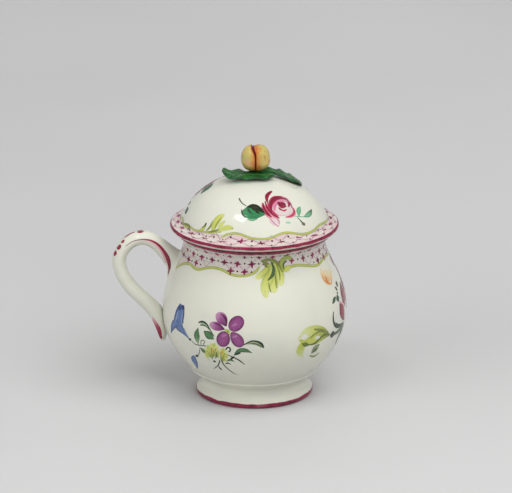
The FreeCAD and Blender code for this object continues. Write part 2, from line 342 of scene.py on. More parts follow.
def cover_inside():
    """From the crown, inside, down the locating ring and out under the brim."""
    base = np.array([DOME_BASE_R - DOME_WALL - 0.2, DOME_BASE_Z + 0.3])
    crown = np.array([0, DOME_TOP_Z - DOME_WALL])
    lean = np.array([-sin(DOME_LEAN), cos(DOME_LEAN)])
    ring_top = np.array([BEZEL_IN_R, RIM_Z - 0.35 * BEZEL_DEPTH])
    low = RIM_Z - BEZEL_DEPTH
    round_up = low + 0.45 * (BEZEL_OUT_R - BEZEL_IN_R)
    return chain(
        bezier(crown, crown + OUT * 0.47 * DOME_BASE_R, base + lean * 0.41 * DOME_HEIGHT, base, steps=28),
        bezier(base, base - lean * 1.1, ring_top + UP * 2.6, ring_top, steps=12),
        arc((BEZEL_IN_R, round_up), ((BEZEL_IN_R + BEZEL_OUT_R) / 2, low), (BEZEL_OUT_R, round_up), steps=12),
        (BEZEL_OUT_R, RIM_Z),
        (BRIM_R - 0.6, RIM_Z),
    )


COVER_OUTSIDE = cover_outside()
COVER_OUTLINE = chain(COVER_OUTSIDE, cover_inside())
print("cover outline:", len(COVER_OUTLINE), "points")


# %% [markdown]
# ## Turning the cup and the cover
# A node tree does what the wheel does: it takes the outline and carries it once round. The outline
# is swept along a circle only to get the faces. Where each point belongs is then said outright:
# its radius and height come from the outline, and its angle from how far round the circle it is.
# Angle 0 is the side that faces the viewer and the angle grows towards +X.

# %% The wheel
WHEEL_STEPS = 288


def outline_object(name, points_mm):
    """The outline as a string of edges, x for radius and z for height, with none along the axis."""
    mesh = bpy.data.meshes.new(name)
    places = [(r * MM, 0, z * MM) for r, z in points_mm]
    steps = [(i, i + 1) for i in range(len(places) - 1) if places[i][0] + places[i + 1][0] > 0]
    mesh.from_pydata(places, steps, [])
    return new_object(name, mesh)


def wheel_tree():
    tree = new_tree("wheel", Steps="NodeSocketInt", Glaze="NodeSocketMaterial")
    w = Wiring(tree)
    outline = w.add("GeometryNodeMeshToCurve", {"Mesh": w.given("Geometry")})
    place = w.add("GeometryNodeInputPosition")
    kept_place = w.add("GeometryNodeCaptureAttribute", {"Geometry": outline.outputs[0]}, domain="POINT")
    kept_place.capture_items.new("VECTOR", "place")
    tree.links.new(place.outputs[0], kept_place.inputs["place"])
    circle = w.add("GeometryNodeCurvePrimitiveCircle", {"Resolution": w.given("Steps"), "Radius": 1.0})
    index = w.add("GeometryNodeInputIndex")
    turn = w.times(w.math("DIVIDE", index.outputs[0], w.given("Steps")), 2 * pi)
    kept_turn = w.add("GeometryNodeCaptureAttribute", {"Geometry": circle.outputs[0]}, domain="POINT")
    kept_turn.capture_items.new("FLOAT", "turn")
    tree.links.new(turn, kept_turn.inputs["turn"])
    swept = w.add("GeometryNodeCurveToMesh",
                  {"Curve": kept_turn.outputs[0], "Profile Curve": kept_place.outputs[0]})
    radius, _, height = w.split(kept_place.outputs["place"])
    x = w.times(radius, w.math("SINE", kept_turn.outputs["turn"]))
    y = w.times(radius, w.times(w.math("COSINE", kept_turn.outputs["turn"]), -1.0))
    put = w.add("ShaderNodeCombineXYZ", {0: x, 1: y, 2: height})
    shaped = w.add("GeometryNodeSetPosition", {"Geometry": swept.outputs[0], "Position": put.outputs[0]})
    closed = w.add("GeometryNodeMergeByDistance", {"Geometry": shaped.outputs[0], "Distance": 1e-7})
    smooth = w.add("GeometryNodeSetShadeSmooth", {"Geometry": closed.outputs[0], "Shade Smooth": True})
    w.finish(smooth.outputs[0], w.given("Glaze"))
    return tree


def volume_of(mesh):
    """Signed volume, which is positive when the faces point outwards."""
    places = np.array([v.co for v in mesh.vertices], float)
    total = 0.0
    for face in mesh.polygons:
        corners = places[list(face.vertices)]
        for k in range(1, len(corners) - 1):
            total += np.dot(corners[0], np.cross(corners[k], corners[k + 1])) / 6
    return total


def turned_piece(name, outline, glaze):
    piece = run_tree(outline_object(name, outline), WHEEL, Steps=WHEEL_STEPS, Glaze=glaze)
    if volume_of(piece.data) < 0:
        piece.data.flip_normals()
    print(name, triangles(piece.data), "triangles,", round(volume_of(piece.data) * 1e9), "cubic mm")
    return piece


WHEEL = wheel_tree()


# %% [markdown]
# ## The handle
# The handle was rolled as a strap of clay, bent into an ear, and stuck to the shoulder and the belly
# with slip. It follows a smooth curve through listed stations, each with its own thickness and
# width. At the shoulder the potter smoothed the joint with a wet brush, and that soft joint is built
# here too: each lengthwise line of the strap stops short of the body and runs out along it.

# %% A smooth curve through stations
def smooth_through(stations, count):
    """A natural cubic spline through rows of numbers; the first two columns are a place and set its pace."""
    rows = np.array(stations, float)
    pace = np.r_[0, np.cumsum(np.hypot(*np.diff(rows[:, :2], axis=0).T))]
    gaps = np.diff(pace)
    n = len(rows)
    system = np.eye(n)
    wanted = np.zeros_like(rows)
    for i in range(1, n - 1):
        system[i, i - 1 : i + 2] = gaps[i - 1], 2 * (gaps[i - 1] + gaps[i]), gaps[i]
        wanted[i] = 6 * ((rows[i + 1] - rows[i]) / gaps[i] - (rows[i] - rows[i - 1]) / gaps[i - 1])
    bend = np.linalg.solve(system, wanted)
    at = np.linspace(0, pace[-1], count)
    k = np.clip(np.searchsorted(pace, at, side="right") - 1, 0, n - 2)
    h = gaps[k][:, None]
    left = ((pace[k + 1] - at) / gaps[k])[:, None]
    right = 1 - left
    return (left * rows[k] + right * rows[k + 1]
            + ((left**3 - left) * bend[k] + (right**3 - right) * bend[k + 1]) * h**2 / 6)


def body_radius(z):
    """The cup's outer radius at a height, in millimetres."""
    return np.interp(z, CUP_OUTSIDE[:, 1], CUP_OUTSIDE[:, 0])


def body_normal(place):
    """Unit vector straight out of the cup's outside at a place on it."""
    x, y, z = place
    lean = (body_radius(z + 0.05) - body_radius(z - 0.05)) / 0.1
    out = np.array([x, y, 0.0]) / hypot(x, y)
    normal = out - np.array([0, 0, lean])
    return normal / np.linalg.norm(normal)


def on_body(place, lift=0.0):
    """The place moved straight in or out to the cup's outside, then lifted off it."""
    x, y, z = place
    share = body_radius(z) / hypot(x, y)
    foot = np.array([x * share, y * share, z])
    return foot + body_normal(foot) * lift


# %% The handle's path and sections
HANDLE_OUT = BELLY_R + 14.6
HANDLE_CROWN_Z = RIM_Z - 4.2
STRAP_THICK = 4.75
STRAP_WIDE = 6.6
TAIL_LENGTH = 10.9
ROOT_THICK = 8.6
ROOT_WIDE = 7.2
TIP_THICK = 1.9
TIP_WIDE = 2.2
HANDLE_RINGS = 150
HANDLE_ROUND = 48
INSIDE_RINGS = 10
CAP_ANGLES = (0.4, 0.8, 1.15, 1.4)


def handle_stations():
    """(x, z, thickness in the handle's plane, width across it), from inside the shoulder to the tip."""
    drop = HANDLE_CROWN_Z - BELLY_Z
    root_z = HANDLE_CROWN_Z - 0.37 * drop
    low_z = BELLY_Z - 0.14 * TAIL_LENGTH
    mid_tail_z = BELLY_Z - 0.55 * TAIL_LENGTH
    tip_z = BELLY_Z - TAIL_LENGTH
    return [
        (1.4 - body_radius(root_z), root_z, ROOT_THICK, ROOT_WIDE),
        (15.6 - HANDLE_OUT, HANDLE_CROWN_Z - 0.18 * drop, 1.2 * STRAP_THICK, 1.04 * STRAP_WIDE),
        (12.2 - HANDLE_OUT, HANDLE_CROWN_Z - 0.06 * drop, 1.04 * STRAP_THICK, STRAP_WIDE),
        (8.4 - HANDLE_OUT, HANDLE_CROWN_Z, STRAP_THICK, STRAP_WIDE),
        (2.8 - HANDLE_OUT, HANDLE_CROWN_Z - 0.09 * drop, STRAP_THICK, STRAP_WIDE),
        (-HANDLE_OUT, HANDLE_CROWN_Z - 0.33 * drop, STRAP_THICK, STRAP_WIDE),
        (1.3 - HANDLE_OUT, HANDLE_CROWN_Z - 0.54 * drop, STRAP_THICK, STRAP_WIDE),
        (4.3 - HANDLE_OUT, HANDLE_CROWN_Z - 0.72 * drop, 1.02 * STRAP_THICK, 0.98 * STRAP_WIDE),
        (8.7 - HANDLE_OUT, HANDLE_CROWN_Z - 0.895 * drop, 1.04 * STRAP_THICK, 0.95 * STRAP_WIDE),
        (-body_radius(low_z) - 2.5, low_z, 1.04 * STRAP_THICK, 0.9 * STRAP_WIDE),
        (-body_radius(mid_tail_z) - 1.5, mid_tail_z, 0.83 * STRAP_THICK, 0.78 * STRAP_WIDE),
        (-body_radius(tip_z) - 2.7, tip_z, TIP_THICK, TIP_WIDE),
    ]


def handle_rings():
    """Places of the strap's skin: one row per section, one column per lengthwise line."""
    path = smooth_through(handle_stations(), HANDLE_RINGS)
    run = np.gradient(path[:, :2], axis=0)
    run /= np.linalg.norm(run, axis=1)[:, None]
    round_angles = np.linspace(0, 2 * pi, HANDLE_ROUND, endpoint=False)
    rings = np.zeros((HANDLE_RINGS, HANDLE_ROUND, 3))
    for i, (x, z, thick, wide) in enumerate(path):
        rings[i, :, 0] = x - run[i, 1] * np.cos(round_angles) * thick / 2
        rings[i, :, 1] = np.sin(round_angles) * wide / 2
        rings[i, :, 2] = z + run[i, 0] * np.cos(round_angles) * thick / 2
    # the strap is carried on straight into the wall, so that every line of it starts inside
    back = rings[0] - rings[1]
    inside = [rings[0] + back * k for k in range(INSIDE_RINGS, 0, -1)]
    return np.concatenate([np.array(inside), rings]), run


# %% The soft joint at the shoulder
JOINT_STEPS = 9
JOINT_REST_STEPS = 12
JOINT_DONE_RING = 40
JOINT_REACH = 1.4
JOINT_LOW_REACH = 4.4
JOINT_HOLLOW = 0.45
RINGS_PER_MM = 1.2
EDGE_BEYOND = 0.5
EDGE_SINK = 0.12
BURIED_BEYOND = 0.6
BURIED_DEPTH = 1.2


def joint_columns(rings):
    """For each lengthwise line: where it would meet the body, softened from the body side to the strap."""
    meets, starts = [], []
    for j in range(HANDLE_ROUND):
        line = rings[:JOINT_DONE_RING, j]
        outside = np.hypot(line[:, 0], line[:, 1]) - body_radius(line[:, 2])
        k = int(np.max(np.nonzero(outside < 0)[0]))
        share = -outside[k] / (outside[k + 1] - outside[k])
        meets.append(line[k] + share * (line[k + 1] - line[k]))
        starts.append(k + share)
    middle = np.mean(meets, axis=0)
    columns = []
    for j, (meet, start) in enumerate(zip(meets, starts)):
        normal = body_normal(meet)
        away = meet - middle
        away -= normal * np.dot(away, normal)
        away /= np.linalg.norm(away)
        # the underside of the joint runs out farther than the rest, and is a little hollow
        droop = max(0.0, -away[2])
        reach = JOINT_REACH + JOINT_LOW_REACH * droop**2
        rings_up = 1 + int(RINGS_PER_MM * reach)
        foot = on_body(meet + away * reach)
        beyond = on_body(meet + away * (reach + EDGE_BEYOND), -EDGE_SINK)
        buried = on_body(meet + away * (reach + BURIED_BEYOND), -BURIED_DEPTH)
        climb = rings[int(start) + rings_up][j]
        corner = meet + ((foot + climb) / 2 - meet) * JOINT_HOLLOW * droop
        t = np.linspace(0, 1, JOINT_STEPS)[:, None]
        soft = (1 - t) ** 2 * foot + 2 * t * (1 - t) * corner + t**2 * climb
        rest_from = int(start) + rings_up + 1
        rest_at = np.linspace(rest_from, JOINT_DONE_RING, JOINT_REST_STEPS)[1:]
        rest = np.array([np.interp(rest_at, np.arange(len(rings)), rings[:, j, c]) for c in range(3)]).T
        columns.append(np.vstack([buried, beyond, soft, rest]))
    return np.array(columns).transpose(1, 0, 2)


# %% [markdown]
# ## The slip that holds the tail
# Low on the belly the strap comes down on the wall and its thin tail runs free again. A roll of slip
# was smoothed into the corner there, so the handle doesn't just cut into the wall. The skin of the
# strap does the same here: where it is nearly at the wall it bends in towards it.

# %% The slip
SLIP_REACH = 2.4
SLIP_PULL = 0.92
SLIP_TOP_Z = BELLY_Z + 6.0


def with_slip(rings):
    """Low down, where the strap comes near the body, its skin bends in and meets the wall softly."""
    wall = body_radius(rings[:, :, 2])
    spread = np.hypot(rings[:, :, 0], rings[:, :, 1])
    share = np.clip((spread - wall) / SLIP_REACH, 0, 1)
    pull = SLIP_PULL * SLIP_REACH * share * (1 - share) ** 1.5
    pull[rings[:, :, 2] > SLIP_TOP_Z] = 0
    soft = rings.copy()
    soft[:, :, :2] *= ((spread - pull) / spread)[:, :, None]
    return soft


def handle_skin():
    rings, run = handle_rings()
    joint = joint_columns(rings)
    rings = with_slip(rings)
    tip = rings[-1]
    centre = tip.mean(axis=0)
    ahead = np.array([run[-1, 0], 0, run[-1, 1]]) * TIP_THICK / 2
    cap = [centre + (tip - centre) * cos(a) + ahead * sin(a) for a in CAP_ANGLES]
    return np.concatenate([joint, rings[JOINT_DONE_RING + 1 :], np.array(cap)])


def closed_tube(name, rings):
    """A mesh from rings of places, closed at both ends with a point."""
    rows, columns = rings.shape[:2]
    places = [tuple(p) for p in (rings * MM).reshape(-1, 3)]
    faces = []
    for i in range(rows - 1):
        for j in range(columns):
            k = (j + 1) % columns
            faces.append((i * columns + j, i * columns + k, (i + 1) * columns + k, (i + 1) * columns + j))
    for row in (0, rows - 1):
        places.append(tuple(rings[row].mean(axis=0) * MM))
        hub = len(places) - 1
        for j in range(columns):
            k = (j + 1) % columns
            a, b = row * columns + j, row * columns + k
            faces.append((b, a, hub) if row == 0 else (a, b, hub))
    mesh = bpy.data.meshes.new(name)
    mesh.from_pydata(places, [], faces)
    mesh.update()
    if volume_of(mesh) < 0:
        mesh.flip_normals()
    mesh.shade_smooth()
    return mesh


# %% [markdown]
# ## The fruit and its leaves
# The knob is a small cleft fruit, pressed in a mould and stuck on a bed of leaves. Its two halves
# are eggs that share one middle, and the cleft is pressed a little deeper where they meet. The
# leaves are thin slabs with a sharp rib, side veins and a wavy rim, so they are made as a bent
# sheet with a thickness that dies away at the rim.

# %% The fruit
FRUIT_BASE_Z = DOME_TOP_Z + 1.5
FRUIT_HIGH = 8.9
FRUIT_HALF_WIDE = 4.95
LOBE_R = 3.75
LOBE_DEPTH = 4.3
FRUIT_X = 0.4
CLEFT_DEPTH = 0.5
CLEFT_HALF_WIDTH = 0.26
CLEFT_LEAN = 1.0
SHARE_ABOVE = 0.56
SHARE_BELOW = 0.44
RIGHT_LOBE_TALLER = 1.03
BUMP_HEIGHT = 0.05
SHOULDER_FULLER = 0.16
CLEFT_ENDS_AT = -0.3
CLEFT_FADE = 0.5
FRUIT_COLUMNS = 120
FRUIT_LEVELS = 64
CROWDING = 0.35


def fruit_radius(direction):
    """Distance from the fruit's middle to its skin in a direction, in millimetres."""
    dx, dy, dz = direction
    height = (SHARE_ABOVE if dz > 0 else SHARE_BELOW) * FRUIT_HIGH
    far = 0.0
    for side in (-1, 1):
        taller = RIGHT_LOBE_TALLER if side > 0 and dz > 0 else 1.0
        aside = side * (FRUIT_HALF_WIDE - LOBE_R)
        a = (dx / LOBE_R) ** 2 + (dy / LOBE_DEPTH) ** 2 + (dz / (height * taller)) ** 2
        b = -2 * dx * aside / LOBE_R**2
        c = (aside / LOBE_R) ** 2 - 1
        far = max(far, (-b + sqrt(b * b - 4 * a * c)) / (2 * a))
    from_cleft = (far * dx + CLEFT_LEAN * max(0.0, dz) ** 3) / CLEFT_HALF_WIDTH
    shallow = 1.0 if dz > CLEFT_ENDS_AT else max(0.0, 1 + (dz - CLEFT_ENDS_AT) / CLEFT_FADE)
    bumps = BUMP_HEIGHT * sin(5 * dx + 3 * dz) * sin(4 * dz - 2 * dy)
    shoulder = 1 + SHOULDER_FULLER * max(0.0, dz) ** 2 * (1 - dz * dz)
    return (far + bumps) * shoulder - CLEFT_DEPTH * shallow * exp(-from_cleft**2)


def fruit_mesh():
    rings = []
    for level in range(1, FRUIT_LEVELS):
        polar = pi * level / FRUIT_LEVELS
        ring = []
        for turn in range(FRUIT_COLUMNS):
            # columns crowd towards the cleft, where the skin bends most
            even = 2 * pi * turn / FRUIT_COLUMNS
            angle = even + CROWDING * sin(2 * even)
            direction = (sin(polar) * cos(angle), sin(polar) * sin(angle), cos(polar))
            far = fruit_radius(direction)
            ring.append([FRUIT_X + far * direction[0], far * direction[1],
                         FRUIT_BASE_Z + SHARE_BELOW * FRUIT_HIGH + far * direction[2]])
        rings.append(ring)
    return closed_tube("fruit", np.array(rings))


# %% The leaves
LEAF_THICK = 1.15
LEAF_HALF_WIDTH = 4.0
LEAF_ALONG = 56
LEAF_ACROSS = 20
DOME_STEPS = 56
WAVY_RIM = 0.05
LEAF_FOLD = 0.8
RIPPLE = 0.36
RIB_WIDTH = 0.32
SIDE_VEINS = 7
VEIN_SLANT = 1.3
VEIN_DEPTH = 0.2
RIDGE_HEIGHT = 0.1
THIN_RIM = 0.75


def dome_height(r):
    """Height of the dome's outside at a distance from the axis."""
    dome = COVER_OUTSIDE[: -DOME_STEPS - 1 : -1]
    return np.interp(r, dome[:, 0], dome[:, 1])


# A leaf is its reach from the axis and its stations from root to tip. A station is x and y as shares
# of the reach, the lift over the dome in mm, the share of the full half width, and how much higher the
# left edge lies than the right.
FRONT_LEAF = (10.4, [
    (0.66, -0.34, 1.3, 0.05, 0.2), (0.52, -0.36, 0.7, 0.40, 0), (0.31, -0.36, 0.3, 0.76, -0.2),
    (-0.14, -0.29, 0.1, 0.98, -0.4), (-0.58, -0.24, 0.6, 1.0, -0.5), (-0.86, -0.19, 1.7, 0.84, -0.5),
    (-0.98, -0.17, 2.8, 0.6, -0.3), (-1.03, -0.16, 3.4, 0.3, -0.2)])
RIGHT_LEAF = (15.9, [
    (0.10, 0.04, 0.2, 0.4, 0), (0.36, 0.07, 0.7, 0.6, 0.2), (0.58, 0.11, 0.35, 0.93, 0.2),
    (0.78, 0.15, 0.15, 1.03, 0.2), (0.92, 0.19, 0.0, 0.83, 0), (0.99, 0.21, 0.0, 0.4, 0)])
BACK_LEAF = (11.6, [
    (0.03, 0.14, 0.2, 0.4, 0), (0.05, 0.41, 0.4, 0.9, 0), (0.07, 0.72, 0.4, 0.85, 0),
    (0.08, 0.94, 0.3, 0.3, 0), (0.08, 1.0, 0.3, 0.06, 0)])


def leaf_sheet(reach, stations, waves, phase):
    """Places of a leaf's top and underside, and how deep in a vein each place of the top lies."""
    rows = smooth_through([(x * reach, y * reach, lift, share, bank) for x, y, lift, share, bank in stations],
                          LEAF_ALONG)
    run = np.gradient(rows[:, :2], axis=0)
    run /= np.linalg.norm(run, axis=1)[:, None]
    top = np.zeros((LEAF_ALONG, LEAF_ACROSS + 1, 3))
    under = np.zeros_like(top)
    veins = np.zeros((LEAF_ALONG, LEAF_ACROSS + 1))
    for i, (x, y, lift, share, bank) in enumerate(rows):
        u = i / (LEAF_ALONG - 1)
        side = np.array([-run[i, 1], run[i, 0]])
        half = LEAF_HALF_WIDTH * max(share, 0.03)
        half *= 1 + WAVY_RIM * sin(waves * 2 * pi * u + phase)
        for j in range(LEAF_ACROSS + 1):
            v = 2 * j / LEAF_ACROSS - 1
            spot = np.array([x, y]) + side * half * v
            base = dome_height(hypot(x, y)) + lift
            fold = LEAF_FOLD * abs(v) ** 1.4 * min(1, half / 2)
            ripple = RIPPLE * abs(v) ** 2 * sin(waves * 2 * pi * u + phase + (1.1 if v > 0 else 0))
            rib = exp(-(v * half / RIB_WIDTH) ** 2)
            side_vein = max(0.0, cos(2 * pi * (SIDE_VEINS * u - VEIN_SLANT * abs(v)))) ** 6 * (1 - rib)
            veins[i, j] = max(rib, 0.8 * side_vein * (1 - abs(v) ** 4))
            body = LEAF_THICK * (1 - THIN_RIM * abs(v) ** 3)
            low = base + fold + ripple + v * bank / 2
            top[i, j] = (*spot, low + body - VEIN_DEPTH * veins[i, j] + RIDGE_HEIGHT * (1 - side_vein))
            under[i, j] = (*spot, low)
    return top, under, veins


def leaf_mesh(name, leaf, waves, phase):
    top, under, veins = leaf_sheet(*leaf, waves, phase)
    # each section runs over the top and back underneath, so the sheet is one closed tube
    rings = np.concatenate([top, under[:, -2:0:-1]], axis=1)
    depth = np.concatenate([veins, np.zeros((LEAF_ALONG, LEAF_ACROSS - 1))], axis=1)
    mesh = closed_tube(name, rings)
    layer = mesh.attributes.new("vein", "FLOAT", "POINT")
    values = np.r_[depth.ravel(), 0, 0].astype(np.float32)
    layer.data.foreach_set("value", values)
    return mesh


# %% [markdown]
# ## Glazes
# Two things make glazed porcelain look real: the colour is never quite even, and the glaze lies in
# very low waves that bend the highlights. Both are here as one shader group. The lines of crimson
# on the foot, the lip and the brim were laid with a loaded brush on the turning wheel, so they are
# masks by height with an edge that wanders a little.

# %% Shader groups
def new_group(name, gives, **inputs):
    """A shader group with named inputs, given as (socket type, value), and named outputs."""
    tree = bpy.data.node_groups.new(name, "ShaderNodeTree")
    for label, (kind, value) in inputs.items():
        socket = tree.interface.new_socket(label.replace("_", " "), in_out="INPUT", socket_type=kind)
        socket.default_value = value
    for label, kind in gives.items():
        tree.interface.new_socket(label, in_out="OUTPUT", socket_type=kind)
    return tree


def here(w):
    """The place on the piece, in its own coordinates."""
    return w.add("ShaderNodeTexCoord").outputs["Object"]


def noise(w, scale, detail=2.0, shift=(0.0, 0.0, 0.0)):
    """Noise in the piece's own coordinates; scale is in bumps per metre."""
    moved = w.add("ShaderNodeMapping", {"Vector": here(w), "Location": shift}).outputs[0]
    return w.add("ShaderNodeTexNoise", {"Vector": moved, "Scale": scale, "Detail": detail}).outputs["Fac"]


def between(w, value, low, high):
    """0 below low, 1 above high, smooth in between."""
    inputs = {"Value": value, "From Min": low, "From Max": high}
    return w.add("ShaderNodeMapRange", inputs, interpolation_type="SMOOTHSTEP").outputs[0]


def mixed(w, factor, a, b):
    node = w.add("ShaderNodeMix", data_type="RGBA")
    for socket, value in ((0, factor), (6, a), (7, b)):
        if isinstance(value, bpy.types.NodeSocket):
            w.tree.links.new(value, node.inputs[socket])
        else:
            node.inputs[socket].default_value = value
    return node.outputs[2]


SPECK_BROWN = (0.13, 0.1, 0.07, 1)


def make_uneven_glaze():
    tree = new_group("uneven_glaze", {"Colour": "NodeSocketColor", "Roughness": "NodeSocketFloat",
                                      "Height": "NodeSocketFloat"},
                     Colour=("NodeSocketColor", (0.6, 0.6, 0.5, 1)),
                     Shade=("NodeSocketColor", (0.5, 0.5, 0.4, 1)),
                     Smoothness=("NodeSocketFloat", 0.08), Cloud_Scale=("NodeSocketFloat", 60.0),
                     Speck_Amount=("NodeSocketFloat", 0.5))
    w = Wiring(tree)
    cloud = between(w, noise(w, w.given("Cloud Scale"), 3.0), 0.38, 0.68)
    colour = mixed(w, cloud, w.given("Colour"), w.given("Shade"))
    cells = w.add("ShaderNodeTexVoronoi", {"Vector": here(w), "Scale": 260.0}).outputs
    rare = w.math("GREATER_THAN", w.add("ShaderNodeSeparateColor", {0: cells["Color"]}).outputs[0], 0.93)
    dot = w.math("LESS_THAN", cells["Distance"], 0.035)
    speck = w.times(w.times(rare, dot), w.given("Speck Amount"))
    colour = mixed(w, speck, colour, SPECK_BROWN)
    rough = w.plus(w.given("Smoothness"), w.times(noise(w, 180.0), 0.05))
    waves = w.plus(noise(w, 95.0, 2.0, (3, 1, 2)), w.times(noise(w, 420.0, 2.0), 0.18))
    for label, value in (("Colour", colour), ("Roughness", rough), ("Height", waves)):
        tree.links.new(value, w.end.inputs[label])
    return tree


UNEVEN_GLAZE = make_uneven_glaze()
print("uneven glaze:", len(UNEVEN_GLAZE.nodes), "nodes")


# %% The porcelain
GLAZE_IOR = 1.5
CRIMSON = (0.25, 0.014, 0.05, 1)
CRIMSON_DEEP = (0.075, 0.005, 0.018, 1)
CRIMSON_THIN = (0.45, 0.16, 0.2, 1)
PORCELAIN = (0.66, 0.66, 0.565, 1)
PORCELAIN_SHADE = (0.625, 0.63, 0.55, 1)


def new_material(name, roughness=0.1):
    material = bpy.data.materials.new(name)
    material.use_nodes = True
    material.node_tree.nodes.clear()
    w = Wiring(material.node_tree, grouped=False)
    surface = w.add("ShaderNodeBsdfPrincipled", {"Roughness": roughness, "IOR": GLAZE_IOR})
    out = w.add("ShaderNodeOutputMaterial", {"Surface": surface.outputs[0]})
    out.is_active_output = True
    return material, w, surface


def bumped(w, surface, height, strength, distance):
    bump = w.add("ShaderNodeBump", {"Height": height, "Strength": strength, "Distance": distance})
    w.tree.links.new(bump.outputs[0], surface.inputs["Normal"])


def height_band(w, height, low, high, soft, wander):
    """1 between two heights in mm, 0 outside, with an edge that wanders like a brush line."""
    shaky = w.plus(height, w.times(w.minus(noise(w, 220.0, 3.0), 0.5), wander))
    return w.times(between(w, shaky, low - soft, low + soft),
                  w.minus(1.0, between(w, shaky, high - soft, high + soft)))


def porcelain_material(name, bands, outer_from):
    """Glazed porcelain; bands are (low, high, strength), in mm of height, painted only beyond a radius."""
    material, w, surface = new_material(name)
    glaze = w.add("ShaderNodeGroup", node_tree=UNEVEN_GLAZE)
    glaze.inputs["Colour"].default_value = PORCELAIN
    glaze.inputs["Shade"].default_value = PORCELAIN_SHADE
    glaze.inputs["Smoothness"].default_value = 0.07
    x, y, z = w.split(here(w))
    height = w.times(z, 1 / MM)
    squares = w.plus(w.math("POWER", x, 2.0), w.math("POWER", y, 2.0))
    spread = w.math("SQRT", squares)
    outside = between(w, w.times(spread, 1 / MM), outer_from - 0.25, outer_from + 0.25)
    colour = glaze.outputs["Colour"]
    for low, high, strength in bands:
        line = w.times(height_band(w, height, low, high, 0.1, 1.0), outside)
        line = w.times(line, strength)
        streaks = between(w, noise(w, 700.0, 3.0), 0.4, 0.75)
        paint = mixed(w, streaks, CRIMSON, CRIMSON_DEEP)
        thin = w.times(between(w, noise(w, 160.0, 2.0, (7, 7, 7)), 0.6, 0.8), 0.6)
        paint = mixed(w, thin, paint, CRIMSON_THIN)
        colour = mixed(w, line, colour, paint)
    w.tree.links.new(colour, surface.inputs["Base Color"])
    w.tree.links.new(glaze.outputs["Roughness"], surface.inputs["Roughness"])
    bumped(w, surface, glaze.outputs["Height"], 0.22, 0.0006)
    return material


FOOT_LINE = (-1.0, 1.7, 1.0)
LIP_LINE = (RIM_Z - 1.75, RIM_Z + 1, 1.0)
BRIM_LINE = (RIM_Z + 0.7, RIM_Z + 1.95, 1.0)
# a painted reflection and shade: a faint crimson tint on the lower half of the brim's edge
BRIM_EDGE_REFLECTION = (RIM_Z - 0.3, RIM_Z + 0.6, 0.3)
FOOT_LINE_FROM_R = 17.6
BRIM_LINE_WIDTH = 1.3
CUP_GLAZE = porcelain_material("cup_porcelain", [FOOT_LINE, LIP_LINE], FOOT_LINE_FROM_R)
COVER_GLAZE = porcelain_material("cover_porcelain", [BRIM_LINE, BRIM_EDGE_REFLECTION], BRIM_R - BRIM_LINE_WIDTH)


# %% The glaze of the fruit
FRUIT_YELLOW = (0.56, 0.41, 0.12, 1)
FRUIT_GREEN = (0.44, 0.42, 0.13, 1)
FRUIT_BLUSH = (0.58, 0.33, 0.17, 1)
FRUIT_HAIR = (0.46, 0.26, 0.07, 1)
FRUIT_FOOT_SHADE = (0.27, 0.19, 0.045, 1)
FRUIT_SIDE_SHADE = (0.36, 0.17, 0.05, 1)
FRUIT_ORANGE = (0.52, 0.17, 0.035, 1)
CLEFT_RED = (0.11, 0.006, 0.01, 1)


def fruit_material():
    """Yellow-green flanks, orange towards the cleft, a crimson line in the cleft, and painted shade: brown at
    the foot and at the outer sides.
    """
    material, w, surface = new_material("fruit_glaze", 0.12)
    x, _, z = w.split(here(w))
    across = w.times(w.math("ABSOLUTE", w.minus(x, FRUIT_X * MM)), 1 / MM)
    high = w.times(w.minus(z, FRUIT_BASE_Z * MM), 1 / MM)
    shaky = w.plus(across, w.times(w.minus(noise(w, 520.0, 3.0), 0.5), 3.0))
    stretched = w.add("ShaderNodeMapping", {"Vector": here(w), "Scale": (1, 1, 0.2)}).outputs[0]
    hairs = w.add("ShaderNodeTexNoise", {"Vector": stretched, "Scale": 1100.0, "Detail": 2.0}).outputs["Fac"]
    patch = between(w, noise(w, 380.0, 3.0), 0.35, 0.65)
    flank = mixed(w, patch, FRUIT_YELLOW, FRUIT_GREEN)
    flank = mixed(w, between(w, noise(w, 300.0, 2.0, (9, 9, 9)), 0.55, 0.7), flank, FRUIT_BLUSH)
    flank = mixed(w, between(w, hairs, 0.56, 0.7), flank, FRUIT_HAIR)
    # painted shade: brown low down, where the fruit sits in its leaves, and at its far left and right sides
    flank = mixed(w, between(w, high, 0.3 * FRUIT_HIGH, 0.0), flank, FRUIT_FOOT_SHADE)
    flank = mixed(w, between(w, shaky, 3.9, 5.6), flank, FRUIT_SIDE_SHADE)
    colour = mixed(w, between(w, shaky, 0.2, 2.6), FRUIT_ORANGE, flank)
    upper = between(w, high, 0.55 * FRUIT_HIGH, FRUIT_HIGH)
    bent = w.times(w.math("POWER", upper, 2.0), CLEFT_LEAN)
    across = w.minus(x, FRUIT_X * MM)
    off_line = w.math("ABSOLUTE", w.plus(w.times(across, 1 / MM), bent))
    wide = w.plus(0.16, w.times(upper, 0.3))
    line = w.minus(1.0, between(w, w.minus(off_line, wide), -0.12, 0.3))
    colour = mixed(w, line, colour, CLEFT_RED)
    w.tree.links.new(colour, surface.inputs["Base Color"])
    bumped(w, surface, noise(w, 300.0, 2.0), 0.3, 0.0008)
    return material


FRUIT_GLAZE = fruit_material()


# %% The glaze of the leaves
LEAF_DARK = (0.002, 0.05, 0.012, 1)
LEAF_GREEN = (0.012, 0.13, 0.03, 1)
LEAF_GLINT = (0.07, 0.26, 0.07, 1)
VEIN_GREEN = (0.18, 0.34, 0.07, 1)


